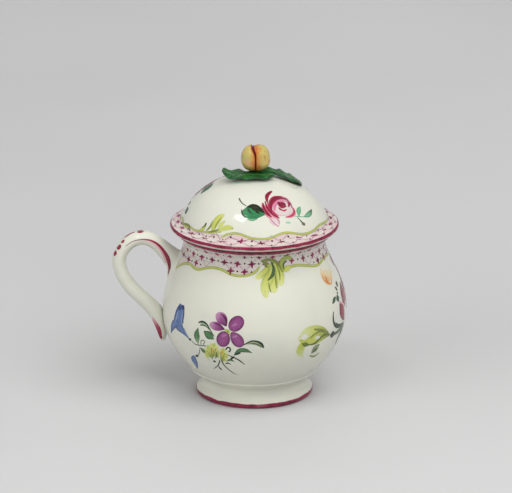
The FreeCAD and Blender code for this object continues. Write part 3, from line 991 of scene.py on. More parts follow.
def leaf_material():
    """Dark glossy green in patches, with small painted glints, and lighter green along the veins."""
    material, w, surface = new_material("leaf_glaze", 0.16)
    vein = w.add("ShaderNodeAttribute", attribute_name="vein").outputs["Fac"]
    patch = between(w, noise(w, 420.0, 3.0), 0.3, 0.72)
    green = mixed(w, patch, LEAF_DARK, LEAF_GREEN)
    # painted glints: small lighter green specks
    green = mixed(w, between(w, noise(w, 900.0, 2.0, (4, 4, 4)), 0.66, 0.78), green, LEAF_GLINT)
    colour = mixed(w, w.times(vein, 0.4), green, VEIN_GREEN)
    w.tree.links.new(colour, surface.inputs["Base Color"])
    bumped(w, surface, noise(w, 500.0, 2.0), 0.35, 0.0006)
    return material


LEAF_GLAZE = leaf_material()
print("materials:", ", ".join(material.name for material in bpy.data.materials))


# %% [markdown]
# ## The bodies of the two pieces
# Each CAD solid is replaced by the finer turned piece of the same size. The handle is a skin of its
# own that runs out on the wall, so both come together as one node, as the luted clay does.

# %% The cup, the cover and the knob
def joined(name, things):
    """One object from several, kept as one mesh."""
    with bpy.context.temp_override(active_object=things[0], selected_editable_objects=things):
        bpy.ops.object.join()
    things[0].name = name
    things[0].data.name = name
    return things[0]


def solid_piece(name, mesh, material):
    mesh.materials.append(material)
    return new_object(name, mesh)


handle = solid_piece("handle", closed_tube("handle", handle_skin()), CUP_GLAZE)
cup = joined("cup_body", [turned_piece("cup_body", CUP_OUTLINE, CUP_GLAZE), handle])
cover = turned_piece("cover_body", COVER_OUTLINE, COVER_GLAZE)
fruit = solid_piece("cover_fruit", fruit_mesh(), FRUIT_GLAZE)
leaf_parts = [solid_piece("leaf", leaf_mesh("leaf", leaf, waves, phase), LEAF_GLAZE)
              for leaf, waves, phase in ((FRONT_LEAF, 3, 0.4), (RIGHT_LEAF, 3.5, 1.4), (BACK_LEAF, 2.5, 2.4))]
leaves = joined("cover_leaves", leaf_parts)
print("cup", triangles(cup.data), "cover", triangles(cover.data), "fruit", triangles(fruit.data),
      "leaves", triangles(leaves.data), "triangles")


# %% [markdown]
# ## Painting on a round pot
# The flowers were painted free-hand with enamels over the glaze, one loaded stroke at a time. So
# each is a stroke here as well: a narrow mesh with a width that swells and tapers, a little thicker
# in the middle, and with its own colours at its rim, root and tip. All strokes are first laid out
# flat, as turn around the axis and length along the outline. One node tree then wraps the whole
# sheet on the pot, so the paint follows every curve of it.
#
# A motif on the side that the photograph shows is drawn through the camera: a pixel of the
# photograph is a line of sight, and where that line meets the pot is where the brush touched it.
# The same motif can then be put down again anywhere else, as the painter did on the far side.

# %% The sheet of a turned outside
PICTURE_HEIGHT = 493
FOCAL_PIXELS = CAMERA_AWAY * PIXELS_PER_MM / MM
SIGHT_RIGHT = np.array([1.0, 0.0, 0.0])
SIGHT_UP = np.array([0.0, sin(CAMERA_UP), cos(CAMERA_UP)])
SIGHT_AHEAD = np.array([0.0, cos(CAMERA_UP), -sin(CAMERA_UP)])


def line_of_sight(x, y):
    """Start and direction, in millimetres, of the camera's line through a pixel of the photograph."""
    way = (SIGHT_RIGHT * (x - PICTURE_WIDTH / 2) + SIGHT_UP * (PICTURE_HEIGHT / 2 - y)
           + SIGHT_AHEAD * FOCAL_PIXELS)
    return np.array(camera.location) / MM, way / np.linalg.norm(way)


# the stretch of a line of sight, in millimetres from the camera, in which the cup lies
SIGHT_FROM = 1440
SIGHT_TO = 1515
SIGHT_STEPS = 1501


class Skin:
    """A turned outside: every spot has a turn, in radians, and a length up the outline, in millimetres."""

    def __init__(self, outline):
        self.outline = outline
        self.lengths = np.r_[0, np.cumsum(np.hypot(*np.diff(outline, axis=0).T))]

    def radius(self, length):
        return np.interp(length, self.lengths, self.outline[:, 0])

    def length_at(self, height):
        return float(np.interp(height, self.outline[:, 1], self.lengths))

    def seen(self, x, y):
        """The spot that a pixel of the photograph shows, or the nearest one at the pot's edge."""
        start, way = line_of_sight(x, y)
        spots = start + way * np.linspace(SIGHT_FROM, SIGHT_TO, SIGHT_STEPS)[:, None]
        reach = np.hypot(spots[:, 0], spots[:, 1])
        over = reach - np.interp(spots[:, 2], self.outline[:, 1], self.outline[:, 0])
        inside = np.nonzero(over < 0)[0]
        spot = spots[inside[0]] if len(inside) else spots[np.argmin(over)]
        return atan2(spot[0], -spot[1]), self.length_at(spot[2])


CUP_SKIN = Skin(CUP_OUTSIDE)
COVER_SKIN = Skin(COVER_OUTSIDE)


# %% Strokes
def linear(level):
    """A level of 0 to 255, as a screen takes it, as a share of the light: the sRGB curve."""
    if level <= 10:
        return level / 3294.6
    return ((level / 255 + 0.055) / 1.055) ** 2.4


def colour_of(red, green, blue):
    """A colour as the eye reads it, turned into the linear values that materials use."""
    return np.array([linear(red), linear(green), linear(blue)])


def ease(value, low, high):
    t = np.clip((value - low) / (high - low), 0, 1)
    return t * t * (3 - 2 * t)


# how fine a stroke's mesh is: rows along it, and columns across a narrow stroke and a wide one
ROW_STEP = 0.3
LEAST_ROWS = 8
PETAL_LEAST_ROWS = 12
MOST_ROWS = 44
NARROW = 1.0
FEW_COLUMNS = 5
MANY_COLUMNS = 11
FINE_STEPS = 241
# how the colours of the rim, the root and the tip spread, and how many ways the hairs can run
RIM_SHARPNESS = 2.5
END_SHARPNESS = 5
ROOT_TO = 0.55
TIP_FROM = 0.45
HAIR_PATTERNS = 97
PETAL_FULLNESS = 2.2
# the least width of a stroke and the height of the paint, in millimetres
HAIRLINE = 0.02
PAINT_LIFT = 0.012
LAYER_LIFT = 0.022
CROWN_LIFT = 0.022
BACKWARDS = slice(None, None, -1)


# %% The brush
class Brush:
    """Collects strokes that belong to one painted piece on one skin."""

    def __init__(self, name, skin):
        self.name, self.skin = name, skin
        self.places, self.faces, self.paints, self.marks = [], [], [], []

    def lay(self, turns, lengths, lifts, paints, marks):
        """Adds a grid of spots; every argument is an array with rows along and columns across."""
        first = len(self.places)
        rows, columns = turns.shape
        self.places += list(zip(turns.ravel(), lengths.ravel() * MM, lifts.ravel() * MM))
        self.paints += list(paints.reshape(-1, 3))
        self.marks += list(marks.reshape(-1, 3))
        for i in range(rows - 1):
            for j in range(columns - 1):
                a = first + i * columns + j
                self.faces.append((a, a + 1, a + columns + 1, a + columns))

    def stroke(self, spot, points, mid, rim=None, root=None, tip=None, layer=0, petal=False,
               size=1.0, spin=0.0):
        """One stroke. points are (right, up, width) in mm around the spot, which is (turn, length)."""
        turn, length = spot
        points = [(p[0] * size, p[1] * size, p[2] * size) for p in points]
        run = sum(dist(a[:2], b[:2]) for a, b in zip(points, points[1:]))
        widest = max(p[2] for p in points)
        rows = int(np.clip(run / ROW_STEP, PETAL_LEAST_ROWS if petal else LEAST_ROWS, MOST_ROWS))
        columns = FEW_COLUMNS if widest < NARROW else MANY_COLUMNS
        path = smooth_through(points, FINE_STEPS)
        t = np.linspace(0, 1, rows)
        if petal:
            t = 0.5 - 0.5 * np.cos(pi * t)
        path = np.array([np.interp(t, np.linspace(0, 1, FINE_STEPS), path[:, c]) for c in range(3)]).T
        ahead = np.gradient(path[:, :2], axis=0)
        ahead /= np.maximum(np.linalg.norm(ahead, axis=1), 1e-9)[:, None]
        width = np.maximum(path[:, 2], HAIRLINE)
        if petal:
            width = width * np.sqrt(np.maximum(0, 1 - np.abs(2 * t - 1) ** PETAL_FULLNESS)) + HAIRLINE
        v = np.linspace(-1, 1, columns)
        right = path[:, :1] - ahead[:, 1:] * width[:, None] * v / 2
        up = path[:, 1:2] + ahead[:, :1] * width[:, None] * v / 2
        right, up = right * cos(spin) - up * sin(spin), right * sin(spin) + up * cos(spin)
        ends = np.abs(2 * t - 1)[:, None]
        near_rim = np.maximum(np.abs(v) ** RIM_SHARPNESS, ends ** END_SHARPNESS if petal else 0 * ends)
        paint = np.array(mid) + (np.array(mid if rim is None else rim) - np.array(mid)) * near_rim[..., None]
        t_grid = np.broadcast_to(t[:, None], near_rim.shape)[..., None]
        for end, share in ((root, 1 - ease(t_grid, 0.0, ROOT_TO)), (tip, ease(t_grid, TIP_FROM, 1.0))):
            if end is not None:
                paint = paint + (np.array(end) - paint) * share
        lift = PAINT_LIFT + LAYER_LIFT * layer + CROWN_LIFT * (1 - v**2) * (1 - ends**4)
        marks = np.stack([np.broadcast_to((t * run)[:, None], near_rim.shape), width[:, None] * v / 2,
                          np.full(near_rim.shape, len(self.places) % HAIR_PATTERNS)], axis=-1)
        # positive widths run to the left of the path, so the columns are reversed to face outwards
        turns = turn + right / self.skin.radius(length)
        self.lay(*(grid[:, BACKWARDS] for grid in (turns, length + up, lift, paint, marks)))

    def sheet(self, places):
        """The strokes as one mesh with its colours, at the places given."""
        mesh = bpy.data.meshes.new(self.name)
        mesh.from_pydata(places, [], self.faces)
        paint = mesh.attributes.new("paint", "FLOAT_COLOR", "POINT")
        paint.data.foreach_set("color", np.c_[np.array(self.paints), np.ones(len(self.paints))].ravel())
        mark = mesh.attributes.new("mark", "FLOAT_VECTOR", "POINT")
        mark.data.foreach_set("vector", np.array(self.marks, np.float32).ravel())
        return new_object(self.name, mesh)

    def finished(self, material):
        """The sheet wrapped on the pot."""
        piece = self.sheet(self.places)
        outline = outline_curve(self.name + "_outline", self.skin.outline)
        run_tree(piece, WRAP, Skin=outline, Paint=material)
        bpy.data.objects.remove(outline)
        piece.data.shade_smooth()
        print(self.name, triangles(piece.data), "triangles")
        return piece


# %% The tree that wraps a flat sheet on the pot
def outline_curve(name, points_mm):
    data = bpy.data.curves.new(name, "CURVE")
    data.dimensions = "3D"
    spline = data.splines.new("POLY")
    spline.points.add(len(points_mm) - 1)
    for point, (r, z) in zip(spline.points, points_mm):
        point.co = (r * MM, 0, z * MM, 1)
    return new_object(name, data)


def wrap_tree():
    """A place's x is its turn, y its length up the outline and z its lift off the surface."""
    tree = new_tree("wrap", Skin="NodeSocketObject", Paint="NodeSocketMaterial")
    w = Wiring(tree)
    outline = w.add("GeometryNodeObjectInfo", {"Object": w.given("Skin")}).outputs["Geometry"]
    flat = w.split(w.add("GeometryNodeInputPosition").outputs[0])
    at = w.add("GeometryNodeSampleCurve", {"Curves": outline, "Length": flat[1]}, mode="LENGTH").outputs
    on = w.split(at["Position"])
    way = w.split(at["Tangent"])
    radius = w.plus(on[0], w.times(way[2], flat[2]))
    height = w.minus(on[2], w.times(way[0], flat[2]))
    x = w.times(radius, w.math("SINE", flat[0]))
    y = w.times(radius, w.times(w.math("COSINE", flat[0]), -1.0))
    put = w.add("ShaderNodeCombineXYZ", {0: x, 1: y, 2: height})
    shaped = w.add("GeometryNodeSetPosition", {"Geometry": w.given("Geometry"), "Position": put.outputs[0]})
    w.finish(shaped.outputs[0], w.given("Paint"))
    return tree


WRAP = wrap_tree()


# %% Enamel
STREAK_TINT = (0.62, 0.46, 0.46, 1)


def enamel_material():
    """The stroke's own colours, streaked along the stroke as hairs of the brush leave them."""
    material, w, surface = new_material("enamel", 0.16)
    paint = w.add("ShaderNodeAttribute", attribute_name="paint").outputs["Color"]
    mark = w.add("ShaderNodeAttribute", attribute_name="mark").outputs["Vector"]
    hairs = w.add("ShaderNodeMapping", {"Vector": mark, "Scale": (0.35, 3.6, 1.7)}).outputs[0]
    streak = w.add("ShaderNodeTexNoise", {"Vector": hairs, "Scale": 1.3, "Detail": 3.0}).outputs["Fac"]
    dark = w.add("ShaderNodeMix", {6: paint, 7: STREAK_TINT}, data_type="RGBA", blend_type="MULTIPLY")
    dark.inputs[0].default_value = 1.0
    colour = mixed(w, w.times(between(w, streak, 0.52, 0.78), 0.6), paint, dark.outputs[2])
    thin = w.times(w.minus(1.0, between(w, streak, 0.22, 0.42)), 0.24)
    colour = mixed(w, thin, colour, PORCELAIN)
    w.tree.links.new(colour, surface.inputs["Base Color"])
    rough = w.plus(0.1, w.times(streak, 0.14))
    w.tree.links.new(rough, surface.inputs["Roughness"])
    bumped(w, surface, streak, 0.15, 0.0002)
    return material


ENAMEL = enamel_material()


# %% Strokes of a motif, and the motif itself
def touch(points, colour, **look):
    """A stroke of a motif: its (x, y, width) in pixels of the photograph, its colour and how it is laid."""
    return points, colour, look


def petal(points, colour, **look):
    """A stroke with round ends, which makes a petal, a leaf or a dab."""
    return touch(points, colour, petal=True, **look)


def green_leaf(points, **look):
    return petal(points, GREEN, rim=GREEN_DARK, **look)


class Motif:
    """Strokes kept in millimetres around a spot, so that they can be put down anywhere on the skin."""

    def __init__(self, skin, middle):
        self.skin = skin
        self.spot = skin.seen(*middle)
        self.strokes = []

    def trace(self, *touches):
        """Adds strokes that go through pixels of the photograph."""
        around = self.skin.radius(self.spot[1])
        for points, colour, look in touches:
            local = []
            for x, y, width in points:
                turn, length = self.skin.seen(x, y)
                local.append(((turn - self.spot[0]) * around, length - self.spot[1], width / PIXELS_PER_MM))
            self.strokes.append((local, colour, look))

    def draw(self, *touches):
        """Adds strokes whose points are (right, up, width) in millimetres around the spot."""
        self.strokes += touches

    def put(self, brush, turn=None, length=None, size=1.0, spin=0.0, mirrored=False):
        spot = (self.spot[0] if turn is None else radians(turn), self.spot[1] if length is None else length)
        side = -1 if mirrored else 1
        for points, colour, look in self.strokes:
            points = [(side * right, up, width) for right, up, width in points]
            brush.stroke((side * spot[0], spot[1]), points, colour, size=size, spin=spin, **look)


def traced(title, skin, middle, touches):
    """A motif on the side that the photograph shows, around the pixel in its middle."""
    motif = Motif(skin, middle)
    motif.trace(*touches)
    print(title + ":", len(touches), "strokes")
    return motif


# %% Enamel colours
PORCELAIN_PAINT = np.array(PORCELAIN[:3])
GREEN = colour_of(72, 118, 72)
GREEN_DARK = colour_of(30, 52, 34)
GREEN_PALE = colour_of(140, 165, 130)
OLIVE = colour_of(118, 128, 58)
YELLOW_GREEN = colour_of(188, 193, 94)
FRESH_GREEN = colour_of(172, 184, 84)
VIOLET = colour_of(138, 70, 124)
VIOLET_DARK = colour_of(88, 24, 74)
VIOLET_PALE = colour_of(180, 136, 166)
BLUE = colour_of(84, 110, 160)
BLUE_DARK = colour_of(40, 58, 106)
ROSE = colour_of(178, 46, 86)
ROSE_DARK = colour_of(122, 12, 46)
ROSE_PALE = colour_of(218, 160, 172)
ORANGE = colour_of(204, 128, 58)
EMERALD = colour_of(40, 128, 74)
MINT = colour_of(110, 168, 130)
MINT_DARK = colour_of(50, 112, 76)
STEM = colour_of(74, 92, 62)


# %% [markdown]
# ## The flowers of the cup
# Each flower below is a list of strokes in the order in which they were laid, first the stems, then
# the leaves and last the petals and their darker touches. A point of a stroke is a pixel of the
# photograph and the stroke's width there, also in pixels.

# %% The front spray: stems and leaves
SPRAY_MIDDLE = (222, 345)
SPRAY_STEMS = [
    touch([(221, 359, 1.3), (224.6, 365.6, 1.5), (229.3, 370, 1.4), (234.7, 373.7, 1), (238.4, 374.9, 0.3)],
          GREEN_DARK),
    touch([(219.9, 360, 1.3), (217.9, 365.6, 1.3), (213.6, 368.6, 0.5)], GREEN_DARK),
    touch([(228, 355, 0.9), (232.6, 356.9, 1.3), (238.7, 360, 1.6), (244.9, 364.6, 0.7)], GREEN_DARK),
    touch([(191.6, 340.9, 0.8), (195.1, 344, 1.1), (199.8, 345.3, 1.1), (206, 346, 0.8)], STEM),
    touch([(200.2, 347, 0.9), (199, 353.6, 0.9), (197, 356, 0.8)], STEM),
    touch([(201.2, 344.6, 0.8), (201, 341.4, 0.9), (203, 340.2, 0.9), (204.8, 341.6, 0.9),
           (203.6, 344.2, 0.9), (205.4, 346.6, 0.8)], STEM),
]
SPRAY_LEAVES = [
    green_leaf([(198.8, 345, 1.5), (196.8, 336.5, 7), (198.3, 327.6, 1.5)], root=GREEN_PALE),
    green_leaf([(214.2, 339.4, 1.5), (209.2, 335.5, 8.5), (203.8, 331, 3)]),
    touch([(214.4, 336.5, 0.8), (209.4, 328.4, 1.2), (206.5, 323.8, 1.6), (202.5, 321.6, 2),
           (198.6, 322.6, 1.2)], GREEN_DARK, layer=1),
    touch([(209.6, 329.8, 0.6), (206.4, 326.6, 0.9), (203.3, 325.1, 1.1), (200.2, 325.3, 0.8)], GREEN_DARK,
          layer=1),
    touch([(209.4, 328.6, 1), (205.4, 325, 3), (200.6, 323.8, 1.6)], GREEN_PALE),
    petal([(240.5, 346.4, 1), (246.6, 343.6, 2), (252.4, 342.4, 4.4), (258, 344, 4.4), (263.4, 348, 1.6)],
          colour_of(150, 160, 120)),
    touch([(241, 346.2, 0.9), (247.4, 342.9, 1.3), (252.1, 341.1, 1.6), (257.6, 341.7, 2),
           (261.7, 344.2, 2.6), (263.4, 347.8, 1.6)], GREEN_DARK, layer=1),
    touch([(248, 344, 0.5), (253, 343.6, 0.9), (257.8, 344.6, 1.1), (261, 347.2, 1)], GREEN_DARK, layer=1),
    green_leaf([(234, 355.2, 1), (238.6, 350.9, 4), (245.4, 350.4, 4.6), (252.4, 353.2, 1)]),
    touch([(234.2, 354.9, 1), (237, 353.8, 2.4), (240.6, 352.8, 1.2)], GREEN_DARK, layer=1),
    touch([(230.6, 359.4, 1.2), (232.4, 357.8, 2.4), (234.4, 356.4, 1)], GREEN_DARK, layer=1),
    green_leaf([(226.6, 361.4, 1), (230.4, 359.9, 2.6), (234.6, 361.9, 1)]),
    petal([(225.2, 364.2, 0.8), (228, 363, 1.8), (231.2, 364.8, 0.8)], GREEN_DARK),
    petal([(218.4, 366, 1), (220, 368.2, 2.2), (222.8, 370.2, 0.8)], GREEN_DARK),
    green_leaf([(200.8, 347.6, 1.6), (203.2, 350.6, 4.4), (206.4, 353.4, 1.6)]),
]
SPRAY_DOTS = [(214.6, 361.3, 2.6), (212.4, 358.5, 1.4), (190.1, 339.4, 2.6), (197, 355.8, 3.0)]
SPRAY_CURL = [
    touch([(226, 351.4, 1), (226.4, 348.4, 1.4), (229, 347.4, 1.6), (230.4, 349.6, 1.6), (228.6, 352, 1.4)],
          GREEN_DARK, layer=1),
]


def dot(x, y, wide):
    return petal([(x - wide / 2, y, wide), (x + wide / 2, y, wide)], GREEN_DARK, layer=1)


# %% The front spray: two yellow blooms
# A bloom is the pixel where its strokes start and the pixels where they end, from left to right
BLOOMS = [
    ((212.6, 357.4), [(204.6, 352.6), (205, 348), (207.4, 344.8), (210.8, 343), (214.4, 342.8),
                      (217.6, 344.8)]),
    ((221.6, 360.4), [(217.8, 351), (220.6, 348.4), (223.8, 347.8), (226.4, 350), (227.6, 354),
                      (226.6, 358.2)]),
]
BLOOM_HEARTS = [(212.8, 350.6), (222.2, 352.2)]
BLOOM_PALE = colour_of(206, 208, 138)
BLOOM_RIM = colour_of(168, 178, 86)
BLOOM_OCHRE = colour_of(196, 158, 74)
BLOOM_SHADOWS = [
    petal([(216.2, 351.4, 1.2), (216.8, 355, 2.4), (215.2, 358.4, 1)], colour_of(104, 122, 58), layer=4),
    petal([(205.2, 353.6, 1), (206.6, 357, 2.2), (209.6, 360.2, 0.8)], BLOOM_PALE, rim=YELLOW_GREEN, layer=3),
    touch([(219.6, 353.6, 0.6), (219.9, 357.6, 1.2), (220.8, 361.8, 0.5)], PORCELAIN_PAINT, layer=4),
]


def part_way(start, end, share):
    return tuple(a + share * (b - a) for a, b in zip(start, end))


def yellow_bloom(low, ends):
    """Short strokes fanned out from low down, every other one paler, with thin olive veins over them."""
    fan = [petal([(*low, 2.4), (*part_way(low, end, 0.45), 5.4), (*end, 4.4)], YELLOW_GREEN, root=OLIVE,
                 tip=BLOOM_PALE if k % 2 else FRESH_GREEN, rim=BLOOM_RIM, layer=1 + k % 2)
           for k, end in enumerate(ends)]
    veins = [touch([(*part_way(low, end, 0.15), 0.6), (*part_way(low, end, 0.7), 1.0)], OLIVE, layer=3)
             for end in ends[1::2]]
    return fan + veins


def bloom_heart(x, y):
    return petal([(x, y + 2.2, 1.6), (x + 0.3, y, 2.6), (x - 0.2, y - 2.2, 1.2)], BLOOM_OCHRE, layer=4)


# %% The front spray: the violet
# Five petals, dark at the rim
VIOLET_PETALS = [
    petal([(226.4, 326.4, 4), (222.6, 319.6, 11), (216.2, 314, 11)], VIOLET, rim=VIOLET, tip=VIOLET_PALE,
          root=VIOLET_DARK, layer=2),
    touch([(225.9, 325.9, 0.8), (226.4, 321.4, 2.2), (224.4, 316.6, 1.8), (220.6, 313.8, 0.6)], VIOLET_DARK,
          layer=4),
    petal([(224.9, 329.3, 3), (217.4, 326.6, 8.6), (209.4, 324, 7.6)], VIOLET, tip=VIOLET_PALE,
          root=VIOLET_DARK, layer=2),
    touch([(224.2, 328.9, 0.6), (219.6, 325, 1.4), (214, 322.9, 0.5)], VIOLET_DARK, layer=4),
    petal([(230, 329.8, 13), (236.4, 323.6, 13.8), (242.4, 317.4, 13.4)], VIOLET, rim=VIOLET_DARK, layer=2),
    petal([(226.2, 331.6, 12.4), (223.4, 338.8, 13.8), (220.6, 346.2, 13.4)], VIOLET, rim=VIOLET_DARK,
          layer=2),
    petal([(231.2, 332.4, 8), (236.8, 339.4, 12), (241.2, 347, 12.2)], VIOLET, rim=VIOLET_DARK, layer=2),
]
VIOLET_GLEAMS = [(235, 325), (224.4, 335.6), (235.2, 336.6)]
VIOLET_LIGHT = colour_of(162, 104, 150)
VIOLET_HEART = [
    petal([(224.9, 329.6, 2), (227.6, 331, 3.4), (230.4, 332, 2)], YELLOW_GREEN, rim=OLIVE, layer=5),
    petal([(226.8, 331, 1.2), (229, 331.4, 1.4)], OLIVE, layer=6),
    touch([(229, 332, 1.6), (229.8, 334.6, 0.8)], YELLOW_GREEN, layer=5),
]


def gleam(x, y):
    return petal([(x - 3, y + 1, 2.4), (x + 2.6, y - 1.4, 3.0)], VIOLET_LIGHT, rim=VIOLET, layer=3)


green_part = SPRAY_STEMS + SPRAY_LEAVES + [dot(*place) for place in SPRAY_DOTS] + SPRAY_CURL
yellow_part = [stroke for bloom in BLOOMS for stroke in yellow_bloom(*bloom)]
yellow_part += [bloom_heart(*place) for place in BLOOM_HEARTS] + BLOOM_SHADOWS
violet_part = VIOLET_PETALS + [gleam(*place) for place in VIOLET_GLEAMS] + VIOLET_HEART
spray = traced("spray", CUP_SKIN, SPRAY_MIDDLE, green_part + yellow_part + violet_part)


# %% The blue bell
BELL_MIDDLE = (184, 322)
BELL_LIGHT = colour_of(118, 140, 178)
BELL_STROKES = [
    touch([(182.2, 304.8, 8), (180.4, 311.4, 14), (178.8, 318.6, 16), (178.6, 323.4, 17), (181, 328.6, 10),
           (185, 333.6, 4.4), (189.5, 339.1, 1)], BLUE, rim=BLUE_DARK),
    touch([(179, 324.2, 3), (175.4, 323.4, 8), (172.8, 326.4, 7), (171.3, 332.8, 1.2)], BLUE, rim=BLUE_DARK,
          tip=BLUE_DARK, layer=1),
    petal([(183.8, 305.2, 3), (183, 307.4, 6), (182.4, 309.6, 2)], BLUE_DARK, layer=2),
    petal([(180.4, 305.8, 2), (179.6, 308, 5), (178.8, 310.2, 1.6)], BLUE_DARK, layer=2),
    touch([(178.6, 311, 1), (176.8, 317.4, 2.6), (175.4, 321.4, 1)], BELL_LIGHT, layer=2),
    touch([(182.8, 310.6, 1), (182, 318, 2.2), (181.4, 325, 1)], BELL_LIGHT, layer=2),
    touch([(184, 328, 0.8), (186, 333, 1.4), (188, 336.4, 0.6)], BELL_LIGHT, layer=2),
    touch([(194.4, 356, 3), (194.4, 360.6, 9), (196, 364.8, 6), (197.4, 368.6, 1)], BLUE, rim=BLUE_DARK,
          layer=1),
]
bell = traced("blue bell", CUP_SKIN, BELL_MIDDLE, BELL_STROKES)


# %% The green tulip on the right
TULIP_MIDDLE = (313, 338)
TULIP_PALE = colour_of(204, 209, 164)
TULIP_STROKES = [
    petal([(330, 334.8, 2), (322.6, 331, 8.6), (314, 331, 11.6), (305.6, 333.6, 12.4), (297.8, 340, 9)],
          YELLOW_GREEN, rim=FRESH_GREEN, tip=TULIP_PALE, root=OLIVE),
    petal([(330, 335, 2), (322.4, 337.6, 6.6), (315, 340.4, 9.6), (307, 341, 9), (299, 340.6, 7)],
          YELLOW_GREEN, rim=FRESH_GREEN, tip=FRESH_GREEN, root=OLIVE, layer=1),
    petal([(309.6, 343.8, 3), (303.6, 344.2, 7.6), (300.6, 349.4, 9.6), (303, 357, 5)], FRESH_GREEN,
          rim=YELLOW_GREEN, tip=TULIP_PALE, layer=1),
    touch([(330, 335, 0.8), (324.4, 334.8, 2.4), (319.4, 338.8, 2.8), (313.8, 343.6, 2.4), (308, 344.6, 1)],
          colour_of(96, 110, 46), layer=3),
    touch([(327.8, 333, 0.8), (321, 330.2, 3.2), (313.6, 329.2, 1)], OLIVE, layer=3),
    touch([(322, 331.4, 0.8), (315.4, 333.4, 1.8), (309.6, 338.6, 0.8)], OLIVE, layer=3),
    petal([(309.6, 344.6, 1), (305.4, 344.6, 4.6), (301.4, 343.2, 1.2)], colour_of(92, 106, 40), layer=3),
    petal([(300.6, 338.6, 2.4), (304.2, 337, 6.4), (308.2, 336.8, 2.4)], colour_of(210, 209, 200), layer=3),
    petal([(314.4, 338.4, 1.6), (317.2, 337.4, 4), (320, 338, 1.6)], colour_of(208, 209, 192), layer=3),
    petal([(330.2, 335, 5), (332.2, 334.4, 7), (334.2, 334, 5)], GREEN_DARK, layer=4),
    petal([(319.4, 344, 3), (315.4, 348.4, 7.4), (311.2, 353.4, 3)], colour_of(150, 166, 118), rim=GREEN_DARK,
          layer=4),
    touch([(317, 346.6, 0.8), (314.8, 349.4, 2.2), (312.6, 352, 0.8)], GREEN_DARK, layer=5),
    touch([(309.4, 355.4, 0.9), (314, 356.2, 2.4), (319.2, 352.6, 0.9)], OLIVE, layer=1),
]
# its stems gather behind the crimson flower
TULIP_STEMS = [
    touch([(332.2, 334.6, 2.2), (336.4, 332.6, 4), (340.8, 328, 5), (343.4, 322.6, 4)], STEM, layer=1),
    touch([(334.8, 344.6, 0.8), (338.2, 336.6, 3.6), (341.6, 329.4, 4), (343.4, 323.4, 3)], GREEN_DARK,
          layer=2),
    touch([(333.4, 311.6, 1), (333.2, 319.4, 2.4), (335.2, 325.6, 2.8), (338.4, 326.6, 3), (343, 322.4, 2.4)],
          GREEN_DARK, layer=3),
    touch([(335.4, 322.8, 0.8), (338.6, 325, 2.6), (342.8, 322.8, 1.2)], GREEN_DARK, layer=3),
]
# small dark leaves, each from one pixel to another and so wide in its middle
TULIP_LEAVES = [
    ((335.6, 296.6), (332.4, 304), 4.6), ((336.8, 294.6), (338.6, 302), 8.0),
    ((336, 280.8), (337.6, 287.2), 5.6), ((334.8, 286.8), (337.6, 290.6), 3.4),
    ((336.8, 291.8), (337.8, 294.4), 3.0)]
TULIP_LEAF_GREEN = colour_of(52, 80, 52)


def small_leaf(start, end, wide):
    middle = ((start[0] + end[0]) / 2, (start[1] + end[1]) / 2, wide)
    return petal([(*start, 2.0), middle, (*end, 1.6)], TULIP_LEAF_GREEN, rim=GREEN_DARK, layer=1)


tulip = traced("tulip", CUP_SKIN, TULIP_MIDDLE,
               TULIP_STROKES + TULIP_STEMS + [small_leaf(*leaf) for leaf in TULIP_LEAVES])


# %% The orange flower
MARIGOLD_MIDDLE = (326, 275)
MARIGOLD_PALE = colour_of(214, 194, 152)
MARIGOLD_TOP_Y = 265.6
# each petal's x at the top, the pixel of its foot, and its width in the middle
MARIGOLD_PETALS = [(321, 323.6, 281, 6.0), (324.2, 326.4, 284, 6.6), (327.2, 328.8, 285, 6.0),
                   (329.8, 331.4, 284.6, 5.0)]
MARIGOLD_HEART = [
    petal([(322.6, 279, 1.6), (326, 281.4, 4.6), (331.6, 284.6, 1.4)], ORANGE, rim=MARIGOLD_PALE, layer=2),
    touch([(325, 276, 0.8), (326.6, 280, 1.8), (327.4, 283.6, 1)], colour_of(186, 104, 40), layer=3),
]


def marigold_petal(x_top, x_low, y_low, wide):
    middle = ((x_top + x_low) / 2, 274, wide)
    return petal([(x_top, MARIGOLD_TOP_Y, 4.0), middle, (x_low, y_low, 2.0)], MARIGOLD_PALE,
                 rim=MARIGOLD_PALE, tip=ORANGE, root=PORCELAIN_PAINT)


marigold = traced("orange flower", CUP_SKIN, MARIGOLD_MIDDLE,
                  [marigold_petal(*place) for place in MARIGOLD_PETALS] + MARIGOLD_HEART)


# %% [markdown]
# ## The flower that turns out of sight, and the fillers
# Only the left edge of the big crimson flower shows, at the cup's right side. So the edge is traced
# from the photograph, and the full flower behind it is drawn in millimetres round its own middle, as
# rings of petals made by a loop. The small sprig is what a painter puts down to fill a bare place.

# %% The crimson flower
# A flower that is drawn has no place in the photograph. Any pixel of the belly serves as its middle,
# because it is always put down by turn and length.
DRAWN_MIDDLE = (300, 300)
WINE = colour_of(92, 10, 42)
PEONY_RED = colour_of(152, 24, 62)
PEONY_DEEP = colour_of(104, 8, 32)
OUTER_PETALS = 11
INNER_PETALS = 7
PEONY_SPRIGS = [
    petal([(-1.6, 0, 2.4), (0, 0.2, 2.8), (1.6, 0, 2.4)], ROSE_DARK, rim=WINE, layer=6),
    touch([(-2.6, 9.4, 0.8), (-1.6, 12.6, 2.2), (1, 15.4, 0.8)], WINE, layer=2),
    touch([(1.4, 9.4, 0.8), (3.4, 12.4, 2), (6, 14.4, 0.8)], PEONY_RED, rim=WINE, layer=2),
    green_leaf([(8.6, -2.2, 0.8), (12.4, -3.6, 3.4), (15.4, -2.2, 0.8)]),
    green_leaf([(6.4, 8, 0.8), (9, 11, 3), (9.6, 14.2, 0.8)]),
    green_leaf([(2.6, -9, 1), (3.4, -12.6, 2.4), (6.2, -15.4, 0.8)]),
]
PEONY_EDGE_MIDDLE = (341, 295)
